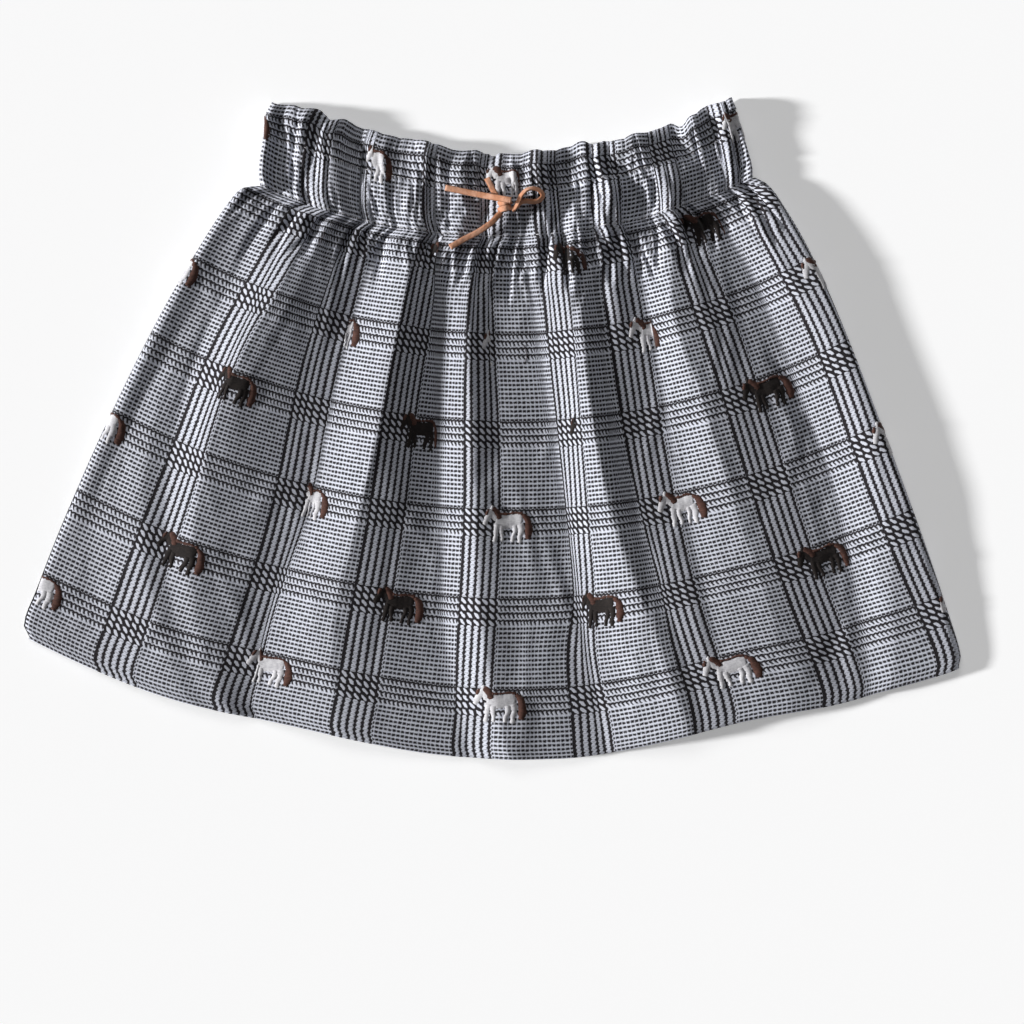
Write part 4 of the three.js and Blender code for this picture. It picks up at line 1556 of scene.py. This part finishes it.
@dataclass
class Bow:
    """The lace bow at the middle of the casing: a knot, one loop and three ends."""

    knot: tuple[float, float, float] = (6.5, 109.7, 14.6)
    knot_size: tuple[float, float, float] = (4.6, 6.4, 4.0)
    wraps: tuple[tuple[Bend, ...], ...] = (
        ((-2.9, 0.9, -1.9, 0), (-2.3, 1.2, 0.8, 0), (-0.2, 1.6, 2.2, 0), (1.9, 2.0, 1.0, 0),
         (2.8, 2.4, -1.6, 0)),
        ((-2.8, -2.3, -1.9, 0), (-2.2, -1.9, 0.7, 0), (0.0, -1.4, 2.0, 0), (2.1, -0.9, 0.8, 0),
         (2.9, -0.6, -1.8, 0)),
    )
    wrap_width: float = 3.1
    wrap_thickness: float = 1.2
    wrap_rings: int = 20
    pole: float = 0.02
    loop: Lace = Lace("bow_loop", (
        (3.4, -2.2, 15.3, 35), (5.1, -0.9, 15.4, 40), (6.5, 1.8, 15.5, 45), (8.1, 5.2, 15.4, 50),
        (10.6, 7.8, 15.0, 50), (14.1, 8.7, 14.3, 48), (17.3, 7.6, 13.6, 45), (18.7, 5.4, 13.3, 45),
        (17.3, 3.2, 13.2, 45), (13.9, 2.2, 13.2, 45), (10.5, 2.6, 13.2, 45), (7.7, 2.0, 13.2, 40),
        (5.5, -0.4, 13.2, 30)), "object", width=2.9)
    strip: Lace = Lace("bow_strip", (
        (3.0, 2.4, 17.5, 0), (-0.1, 3.0, 17.2, 4), (-3.9, 3.8, 16.1, 6), (-9.9, 5.0, 14.6, 2),
        (-17.9, 6.7, 13.6, -4), (-29.7, 9.2, 13.3, -2)), "bare", seed=9)
    tail: Lace = Lace("bow_tail", (
        (-2.1, -3.0, 13.8, 20), (-3.9, -5.1, 13.4, 28), (-6.9, -8.2, 13.0, 24),
        (-13.5, -12.7, 12.6, 14), (-20.3, -16.2, 12.4, 20), (-27.4, -20.3, 12.7, 10)),
        "bare", width=3.0)
    stub: Lace = Lace("bow_stub", (
        (-3.3, 3.1, 13.4, 0), (-5.1, 6.2, 13.2, 10), (-7.1, 10.2, 13.2, -5),
        (-9.1, 14.0, 13.2, 0)), "bare", width=3.0)

    def build(self, suede: bpy.types.Material) -> None:
        """Tie the bow.

        Args:
            suede: The lace's material.
        """
        pieces = {lace.node: lace.build(suede) for lace in (self.loop, self.strip, self.tail, self.stub)}
        self.loop.declare(pieces["bow_loop"])
        self.strip.declare(pieces["bow_strip"], [pieces["bow_stub"]])
        self.tail.declare(pieces["bow_tail"])
        self.tie(suede)

    def tie(self, suede: bpy.types.Material) -> None:
        """Make the knot: a core with two wraps of the lace over it.

        Args:
            suede: The lace's material.
        """
        parts = []
        for wrap in self.wraps:
            line = smooth_route(wrap, self.wrap_rings)
            parts.append(ribbon(line[:, :3], line[:, 3], self.wrap_width, self.wrap_thickness))
        core, core_faces = self.core()
        parts.append((core, core_faces, core[:, :2]))
        starts = np.cumsum([0, *(len(points) for points, _, _ in parts)])
        faces = [made + start for (_, made, _), start in zip(parts, starts)]
        points = np.concatenate([made for made, _, _ in parts]) + np.array(self.knot)
        uv = np.concatenate([made for _, _, made in parts])
        piece = mesh_object("lace_knot", points, np.concatenate(faces), uv)
        finish_piece(piece, [suede], ["bow_knot"])

    def core(self, rows: int = 9, sides: int = 14) -> tuple[np.ndarray, np.ndarray]:
        """Make the knot's core, a rounded lump with closed poles.

        Args:
            rows: Rings of points.
            sides: Points round each ring.

        Returns:
            The points and the faces.
        """
        rise = np.linspace(-math.pi / 2, math.pi / 2, rows)
        turn = np.arange(sides) * 2 * math.pi / sides
        ring = np.cos(rise)[:, None].clip(self.pole)
        x = ring * np.cos(turn) * self.knot_size[0] / 2
        y = ring * np.sin(turn) * self.knot_size[1] / 2
        z = np.broadcast_to(np.sin(rise)[:, None], x.shape) * self.knot_size[2] / 2
        return np.stack([x, y, z], axis=-1).reshape(-1, 3), tube_faces(rows, sides)


class NodeTree:
    """A short way to write a material's nodes as expressions."""

    def __init__(self, material: bpy.types.Material) -> None:
        """Start from an empty tree with its output and shader.

        Args:
            material: The material to dress.
        """
        material.use_nodes = True
        self.tree = material.node_tree
        self.tree.nodes.clear()
        self.output = self.tree.nodes.new("ShaderNodeOutputMaterial")
        self.shader = self.tree.nodes.new("ShaderNodeBsdfPrincipled")
        self.link(self.shader.outputs["BSDF"], self.output.inputs["Surface"])

    def link(self, one: Socket, two: Socket) -> None:
        """Join two sockets."""
        self.tree.links.new(one, two)

    def put(self, socket: Socket, value: object) -> None:
        """Set a socket's value, or link it where the value is a socket.

        Args:
            socket: The input socket.
            value: A value, or an output socket.
        """
        if isinstance(value, Socket):
            self.link(value, socket)
        else:
            socket.default_value = value

    def dress(self, **values: object) -> None:
        """Set the shader's sockets, whose names are given with low lines for spaces."""
        for name, value in values.items():
            self.put(self.shader.inputs[name.replace("_", " ")], value)

    def surface(self) -> Socket:
        """Read the piece's own coordinates, in metres.

        Returns:
            The coordinates.
        """
        node = self.tree.nodes.new("ShaderNodeUVMap")
        node.uv_map = "Surface"
        return node.outputs["UV"]

    def split(self, vector: Socket) -> tuple[Socket, Socket]:
        """Give a vector's first two parts in millimetres.

        Args:
            vector: The vector in metres.

        Returns:
            The two parts.
        """
        node = self.tree.nodes.new("ShaderNodeSeparateXYZ")
        self.put(node.inputs[0], vector)
        first, second = (self.math("MULTIPLY", node.outputs[k], 1 / MM) for k in (0, 1))
        return first, second

    def stretch(self, vector: Socket, across: float, along: float) -> Socket:
        """Scale a vector's first two parts.

        Args:
            vector: The vector.
            across: The first part's scale.
            along: The second part's scale.

        Returns:
            The scaled vector.
        """
        node = self.tree.nodes.new("ShaderNodeMapping")
        self.put(node.inputs["Vector"], vector)
        self.put(node.inputs["Scale"], (across, along, 1.0))
        return node.outputs[0]

    def math(self, operation: str, *values: object, clamp: bool = False) -> Socket:
        """Add a Math node and give its result.

        Args:
            operation: Which sum it does.
            *values: Numbers or sockets to put in.
            clamp: Whether the result is held to 0 to 1.

        Returns:
            The result.
        """
        node = self.tree.nodes.new("ShaderNodeMath")
        node.operation = operation
        node.use_clamp = clamp
        for socket, value in zip(node.inputs, values):
            self.put(socket, value)
        return node.outputs[0]

    def step(self, value: object, low: object, high: object) -> Socket:
        """Ease a value from 0 at low to 1 at high.

        Args:
            value: The value.
            low: Where it starts.
            high: Where it ends.

        Returns:
            The eased value.
        """
        node = self.tree.nodes.new("ShaderNodeMapRange")
        node.interpolation_type = "SMOOTHSTEP"
        for key, number in (("Value", value), ("From Min", low), ("From Max", high),
                            ("To Min", 0.0), ("To Max", 1.0)):
            self.put(node.inputs[key], number)
        return node.outputs["Result"]

    def near(self, value: object, middle: float, half: float, soft: float) -> Socket:
        """Give 1 near the middle and 0 away from it."""
        away = self.math("ABSOLUTE", self.math("SUBTRACT", value, middle))
        return self.math("SUBTRACT", 1.0, self.step(away, half - soft, half + soft))

    def noise(self, vector: Socket, scale: float, detail: float = 2.0,
              roughness: float = 0.5) -> Socket:
        """Add a Noise node and give its value.

        Args:
            vector: Where it is read.
            scale: Waves to the unit.
            detail: Finer waves on top.
            roughness: How strong those are.

        Returns:
            The value.
        """
        node = self.tree.nodes.new("ShaderNodeTexNoise")
        self.put(node.inputs["Vector"], vector)
        self.put(node.inputs["Scale"], scale)
        self.put(node.inputs["Detail"], detail)
        self.put(node.inputs["Roughness"], roughness)
        return node.outputs[0]

    def choose(self, factor: object, one: object, two: object) -> Socket:
        """Blend two numbers.

        Args:
            factor: 0 for the first, 1 for the second.
            one: The first.
            two: The second.

        Returns:
            The blend.
        """
        node = self.tree.nodes.new("ShaderNodeMix")
        self.put(node.inputs["Factor"], factor)
        self.put(node.inputs["A"], one)
        self.put(node.inputs["B"], two)
        return node.outputs["Result"]

    def blend(self, factor: object, one: object, two: object) -> Socket:
        """Blend two colours.

        Args:
            factor: 0 for the first, 1 for the second.
            one: The first.
            two: The second.

        Returns:
            The blend.
        """
        node = self.tree.nodes.new("ShaderNodeMix")
        node.data_type = "RGBA"
        chosen = [socket for socket in node.inputs if socket.type == "RGBA"]
        self.put(node.inputs["Factor"], factor)
        self.put(chosen[0], one)
        self.put(chosen[1], two)
        return next(socket for socket in node.outputs if socket.type == "RGBA")

    def bump(self, height: Socket, distance: float, strength: float = 1.0,
             normal: Socket | None = None) -> Socket:
        """Add a Bump node and give its normal.

        Args:
            height: The height to read.
            distance: The height's size in metres.
            strength: Its strength.
            normal: A normal to start from, if any.

        Returns:
            The normal.
        """
        node = self.tree.nodes.new("ShaderNodeBump")
        self.put(node.inputs["Strength"], strength)
        self.put(node.inputs["Distance"], distance)
        self.put(node.inputs["Height"], height)
        if normal is not None:
            self.put(node.inputs["Normal"], normal)
        return node.outputs["Normal"]


@dataclass(frozen=True)
class CheckFinish:
    """The glen check: colour-and-weave groups over a ground of small dashes.

    Sizes are in millimetres. A warp group is a band of beaded upright lines, a weft group
    one of leaning teeth, and where they cross the white threads show as small leaves. Three
    numbers together are the middle, half width and softness of a mark, as shares of its pitch.
    Noise scales are in waves to the metre.
    """

    name: str = "check_cloth"
    first_group: float = 38.0
    first_band: float = 22.5
    group_width: float = 21.6
    first_line: float = 0.9
    group_pitch: float = 3.9
    thick_line: float = 2.6
    thick_gain: float = 0.07
    line_edge: Pair = (0.15, 0.29)
    bead_lean: float = 0.12
    bead_swell: float = 0.07
    bead_gap: Mark = (0.5, 0.08, 0.16)
    gap_dark: float = 0.55
    dash_pitch: float = 2.27
    dash_long: Mark = (0.5, 0.39, 0.12)
    dash_high: Mark = (0.5, 0.29, 0.12)
    yarn_high: Mark = (0.5, 0.16, 0.12)
    yarn_dark: float = 0.5
    band_rows: float = 4.0
    band_pitch: float = 3.45
    row_pitch: float = 2.2
    tooth_pitch: float = 2.3
    tooth_lean: float = 0.80
    tooth_wide: Mark = (0.5, 0.24, 0.14)
    tooth_start: Pair = (0.02, 0.26)
    rim_wave: float = 0.07
    rim_high: Mark = (0.82, 0.17, 0.10)
    leaf_middle: float = 0.45
    leaf_way: Pair = (0.68, 0.73)
    leaf_long: float = 0.60
    leaf_wide: float = 0.235
    leaf_edge: Pair = (0.58, 1.0)
    light: Colour = (0.82, 0.84, 0.93, 1.0)
    light_shade: Colour = (0.56, 0.58, 0.66, 1.0)
    dark: Colour = (0.010, 0.009, 0.011, 1.0)
    dark_worn: Colour = (0.048, 0.041, 0.045, 1.0)
    drift_scale: float = 620.0
    fade_scale: float = 260.0
    grain_scale: float = 2600.0
    yarn_scale: Pair = (700.0, 2400.0)
    faded: float = 0.75
    white_rise: float = 0.6
    fibre_rise: float = 0.45
    bump: Pair = (0.0003, 0.8)

    def make(self) -> bpy.types.Material:
        """Build the material.

        Returns:
            The material.
        """
        material = bpy.data.materials.new(self.name)
        nodes = NodeTree(material)
        uv = nodes.surface()
        x, y = nodes.split(uv)
        drift = nodes.math("SUBTRACT", nodes.noise(uv, self.drift_scale), 0.5)
        x = nodes.math("ADD", x, drift)
        y = nodes.math("ADD", y, drift)
        dark = self.darkness(nodes, x, y)
        fade = nodes.step(nodes.noise(uv, self.fade_scale, 3.0, 0.6), 0.10, 0.40)
        grain = nodes.noise(uv, self.grain_scale, 2.0, 0.7)
        yarn = nodes.noise(nodes.stretch(uv, *self.yarn_scale), 1.0, 2.0, 0.6)
        worn = nodes.math("MULTIPLY", dark, nodes.choose(fade, self.faded, 1.0))
        light = nodes.blend(nodes.step(grain, 0.25, 0.75), self.light_shade, self.light)
        deep = nodes.blend(nodes.step(yarn, 0.25, 0.9), self.dark, self.dark_worn)
        white = nodes.math("MULTIPLY", nodes.math("SUBTRACT", 1.0, dark), self.white_rise)
        fibres = nodes.math("ADD", nodes.math("MULTIPLY", grain, self.fibre_rise),
                            nodes.math("MULTIPLY", yarn, self.fibre_rise))
        height = nodes.math("ADD", white, fibres)
        nodes.dress(Base_Color=nodes.blend(worn, light, deep), Roughness=0.9,
                    Specular_IOR_Level=0.15, Sheen_Weight=0.10, Sheen_Roughness=0.5,
                    Normal=nodes.bump(height, *self.bump))
        return material

    def darkness(self, nodes: NodeTree, x: Socket, y: Socket) -> Socket:
        """Say how dark a thread is, for the four ways that the groups cross.

        Args:
            nodes: The material's nodes.
            x: Distance across the cloth.
            y: Distance up from the hem.

        Returns:
            The darkness, 0 to 1.
        """
        in_group = nodes.math("FLOORED_MODULO", nodes.math("SUBTRACT", x, self.first_group),
                              REPEAT_ACROSS)
        in_band = nodes.math("FLOORED_MODULO", nodes.math("SUBTRACT", y, self.first_band),
                             REPEAT_ALONG)
        warp = nodes.math("LESS_THAN", in_group, self.group_width)
        weft = nodes.math("LESS_THAN", in_band, self.band_rows * self.band_pitch)

        def share(value: object, pitch: float, start: float = 0.0) -> Socket:
            """Give the share of the way through one pitch."""
            return nodes.math("FRACT", nodes.math("DIVIDE", nodes.math("SUBTRACT", value, start), pitch))

        rows = share(in_band, self.row_pitch)
        ground = self.ground(nodes, share(in_group, self.dash_pitch), rows)
        lines = self.lines(nodes, in_group, rows)
        b = share(in_band, self.band_pitch)
        teeth = self.teeth(nodes, share(in_group, self.tooth_pitch), b)
        a = share(in_group, self.group_pitch, self.first_line - self.group_pitch / 2)
        leaves = self.leaves(nodes, a, b)
        return nodes.choose(weft, nodes.choose(warp, ground, lines), nodes.choose(warp, teeth, leaves))

    def ground(self, nodes: NodeTree, a: Socket, rows: Socket) -> Socket:
        """Lay rows of dark dashes between white rows.

        Args:
            nodes: The material's nodes.
            a: Share of the way through a dash's pitch.
            rows: Share of the way through a row.

        Returns:
            The darkness.
        """
        dash = nodes.math("MULTIPLY", nodes.near(a, *self.dash_long), nodes.near(rows, *self.dash_high))
        thin = nodes.math("MULTIPLY", nodes.near(rows, *self.yarn_high), self.yarn_dark)
        return nodes.math("MAXIMUM", dash, thin)

    def lines(self, nodes: NodeTree, in_group: Socket, rows: Socket) -> Socket:
        """Lay beaded upright lines, the first one thick, with faint gaps between white beads.

        Args:
            nodes: The material's nodes.
            in_group: Distance into the group.
            rows: Share of the way through a row.

        Returns:
            The darkness.
        """
        start = self.first_line - self.group_pitch / 2
        moved = nodes.math("SUBTRACT", in_group, start)
        leaning = nodes.math("MULTIPLY", nodes.math("SUBTRACT", rows, 0.5), self.bead_lean)
        a = nodes.math("FRACT", nodes.math("ADD", nodes.math("DIVIDE", moved, self.group_pitch), leaning))
        swell = nodes.math("MULTIPLY", nodes.math("COSINE", nodes.math("MULTIPLY", rows, 2 * math.pi)),
                           self.bead_swell)
        away = nodes.math("ABSOLUTE", nodes.math("SUBTRACT", a, 0.5))
        thick = nodes.math("MULTIPLY", nodes.math("LESS_THAN", in_group, self.thick_line),
                           self.thick_gain)
        bead = nodes.math("SUBTRACT", nodes.math("SUBTRACT", away, swell), thick)
        line = nodes.math("SUBTRACT", 1.0, nodes.step(bead, *self.line_edge))
        gaps = nodes.math("MULTIPLY", nodes.near(rows, *self.bead_gap), self.gap_dark)
        return nodes.math("MAXIMUM", line, gaps)

    def teeth(self, nodes: NodeTree, a: Socket, b: Socket) -> Socket:
        """Hang leaning teeth from a thin dark line along the top of each row.

        Args:
            nodes: The material's nodes.
            a: Share of the way through a tooth's pitch.
            b: Share of the way up the band's row.

        Returns:
            The darkness.
        """
        lean = nodes.math("ADD", a, nodes.math("MULTIPLY", b, self.tooth_lean))
        tooth = nodes.math("MULTIPLY", nodes.near(nodes.math("FRACT", lean), *self.tooth_wide),
                           nodes.step(b, *self.tooth_start))
        wave = nodes.math("MULTIPLY", nodes.math("SINE", nodes.math("MULTIPLY", a, 2 * math.pi)),
                          self.rim_wave)
        rim = nodes.near(nodes.math("ADD", b, wave), *self.rim_high)
        return nodes.math("MAXIMUM", tooth, rim)

    def leaves(self, nodes: NodeTree, a: Socket, b: Socket) -> Socket:
        """Leave white leaves that lean down to the right, on dark.

        Args:
            nodes: The material's nodes.
            a: Share of the way through a line's pitch.
            b: Share of the way up the band's row.

        Returns:
            The darkness.
        """
        x = nodes.math("SUBTRACT", nodes.math("FRACT", nodes.math("ADD", a, 0.5)), 0.5)
        y = nodes.math("SUBTRACT", b, self.leaf_middle)
        right, down = self.leaf_way
        long = nodes.math("SUBTRACT", nodes.math("MULTIPLY", x, right), nodes.math("MULTIPLY", y, down))
        wide = nodes.math("ADD", nodes.math("MULTIPLY", x, down), nodes.math("MULTIPLY", y, right))
        leaf = nodes.math("ADD", nodes.math("POWER", nodes.math("DIVIDE", long, self.leaf_long), 2.0),
                          nodes.math("POWER", nodes.math("DIVIDE", wide, self.leaf_wide), 2.0))
        return nodes.step(leaf, *self.leaf_edge)


@dataclass(frozen=True)
class ThreadFinish:
    """Matt thread in rows of short stitches, for the motifs and the seams."""

    name: str
    colour: Colour
    shade: Colour
    strand_scale: Pair = (500.0, 2600.0)
    patch_scale: float = 420.0
    patch_share: float = 0.4
    bump: Pair = (0.0003, 0.8)

    def make(self) -> bpy.types.Material:
        """Build the material.

        Returns:
            The material.
        """
        material = bpy.data.materials.new(self.name)
        nodes = NodeTree(material)
        source = nodes.tree.nodes.new("ShaderNodeTexCoord").outputs["Object"]
        strand = nodes.noise(nodes.stretch(source, *self.strand_scale), 1.0, 3.0, 0.6)
        patch = nodes.noise(source, self.patch_scale, 2.0, 0.6)
        mixed = nodes.math("ADD", nodes.math("MULTIPLY", strand, 1 - self.patch_share),
                           nodes.math("MULTIPLY", patch, self.patch_share))
        nodes.dress(Base_Color=nodes.blend(nodes.step(mixed, 0.32, 0.62), self.shade, self.colour),
                    Roughness=0.8, Specular_IOR_Level=0.2, Sheen_Weight=0.15,
                    Normal=nodes.bump(strand, *self.bump))
        return material


@dataclass(frozen=True)
class SuedeFinish:
    """Tan suede: a soft nap with lighter rubbed patches, small pores and darker cut edges."""

    name: str = "tan_suede"
    colour: Colour = (0.60, 0.27, 0.15, 1.0)
    rubbed: Colour = (0.78, 0.44, 0.30, 1.0)
    edge: Colour = (0.24, 0.085, 0.032, 1.0)
    half_width: float = 1.5
    edge_start: float = 0.72
    nap_scale: float = 900.0
    patch_scale: float = 160.0
    bump: Pair = (0.0004, 0.7)

    def make(self) -> bpy.types.Material:
        """Build the material.

        Returns:
            The material.
        """
        material = bpy.data.materials.new(self.name)
        nodes = NodeTree(material)
        source = nodes.tree.nodes.new("ShaderNodeTexCoord").outputs["Object"]
        _, round_it = nodes.split(nodes.surface())
        nap = nodes.noise(source, self.nap_scale, 4.0, 0.65)
        patch = nodes.noise(source, self.patch_scale, 3.0, 0.6)
        tone = nodes.blend(nodes.step(patch, 0.35, 0.7), self.colour, self.rubbed)
        rim = nodes.step(nodes.math("ABSOLUTE", round_it), self.half_width * self.edge_start,
                         self.half_width)
        fine = nodes.math("MULTIPLY", rim, nodes.choose(nodes.step(nap, 0.3, 0.7), 0.9, 0.4))
        nodes.dress(Base_Color=nodes.blend(fine, tone, self.edge), Roughness=0.86,
                    Specular_IOR_Level=0.25, Sheen_Weight=0.35, Sheen_Roughness=0.45,
                    Normal=nodes.bump(nap, *self.bump))
        return material


@dataclass
class Studio:
    """The pale floor, the light from the left, and the camera straight above.

    Angles are in degrees. A lamp's softness is the angle that it fills, as seen from the skirt.
    """

    middle: Pair = (9.9, -42.3)
    view_width: float = 512.0
    lens: float = 85.0
    sensor: float = 36.0
    cloth_level: float = 6.0
    key_azimuth: float = 182.0
    key_elevation: float = 18.0
    key_power: float = 4.9
    key_softness: float = 6.0
    fill_azimuth: float = 115.0
    fill_elevation: float = 48.0
    fill_power: float = 0.55
    fill_softness: float = 30.0
    sky_power: float = 0.08
    sky_colour: Colour = (0.98, 0.98, 1.0, 1.0)
    floor_glow: float = 0.3
    floor_colour: Colour = (0.93, 0.93, 0.93, 1.0)
    floor_half: float = 15000.0
    floor_drop: float = 0.05

    def build(self) -> None:
        """Make the camera, the floor, the light and the world."""
        self.camera()
        self.floor()
        self.sun("key", self.key_azimuth, self.key_elevation, self.key_power, self.key_softness)
        self.sun("fill", self.fill_azimuth, self.fill_elevation, self.fill_power, self.fill_softness)
        world = bpy.data.worlds.new("studio")
        world.use_nodes = True
        background = world.node_tree.nodes["Background"]
        background.inputs["Color"].default_value = self.sky_colour
        background.inputs["Strength"].default_value = self.sky_power
        bpy.context.scene.world = world
        bpy.context.scene.view_settings.view_transform = "Standard"

    def camera(self) -> None:
        """Look straight down, with the photograph's frame at the level of the cloth."""
        data = bpy.data.cameras.new("camera")
        data.lens = self.lens
        data.sensor_width = self.sensor
        height = self.view_width * self.lens / self.sensor + self.cloth_level
        camera = bpy.data.objects.new("camera", data)
        camera.location = (self.middle[0] * MM, self.middle[1] * MM, height * MM)
        bpy.context.collection.objects.link(camera)
        bpy.context.scene.camera = camera

    def floor(self) -> None:
        """Lay a plain pale floor under the skirt."""
        half = self.floor_half
        corners = np.array([[-half, -half, 0], [half, -half, 0], [half, half, 0], [-half, half, 0]])
        floor = mesh_object("floor", corners - [0, 0, self.floor_drop], np.array([(0, 1, 2, 3)]))
        material = bpy.data.materials.new("pale_floor")
        nodes = NodeTree(material)
        nodes.dress(Base_Color=self.floor_colour, Roughness=0.9, Specular_IOR_Level=0.1,
                    Emission_Color=(1, 1, 1, 1), Emission_Strength=self.floor_glow)
        floor.data.materials.append(material)

    def sun(self, name: str, azimuth: float, elevation: float, power: float, softness: float) -> None:
        """Light the skirt evenly from one side.

        Args:
            name: The lamp's name.
            azimuth: Where it stands round the skirt.
            elevation: Its height over the table.
            power: Its strength.
            softness: The angle that it fills.
        """
        data = bpy.data.lights.new(name, "SUN")
        data.energy = power
        data.angle = softness * DEGREE
        lamp = bpy.data.objects.new(name, data)
        lamp.rotation_euler = (0, (90 - elevation) * DEGREE, azimuth * DEGREE)
        lamp.location = (0, 0, 1)
        bpy.context.collection.objects.link(lamp)


def main() -> None:
    """Build the skirt, dress it and set the stage."""
    logging.basicConfig(level=logging.INFO, format="%(message)s")
    Studio().build()
    suede = SuedeFinish().make()
    Bow().build(suede)
    cloth = CheckFinish().make()
    threads = [
        ThreadFinish("white_thread", (0.74, 0.73, 0.75, 1), (0.50, 0.49, 0.52, 1)).make(),
        ThreadFinish("brown_thread", (0.105, 0.046, 0.034, 1), (0.036, 0.016, 0.012, 1)).make(),
        ThreadFinish("black_thread", (0.022, 0.016, 0.014, 1), (0.008, 0.006, 0.006, 1)).make(),
    ]
    fan = Fan()
    front = FrontCloth(fan, "front_cloth", ("front_panel", "front_casing"))
    back = BackCloth(fan, "back_cloth", ("back_panel", "back_casing"))
    back_piece = back.build()
    back.dress(back_piece, cloth, "laid", ["floor"])
    front_piece = front.build()
    front.dress(front_piece, cloth, "gathered", [back_piece])
    motifs = (Horses(front), Horses(back, covered=(), thread_height=0.1, layer_height=0.02))
    stitches = StitchRows()
    rows = [mix(fan.top, fan.foot, front.relief.channel_at), fan.foot - stitches.above_foot]
    for horses in motifs:
        finish_piece(horses.build(), threads)
        stitches.build(horses.sheet, rows, threads[0])


if __name__ == "__main__":
    main()
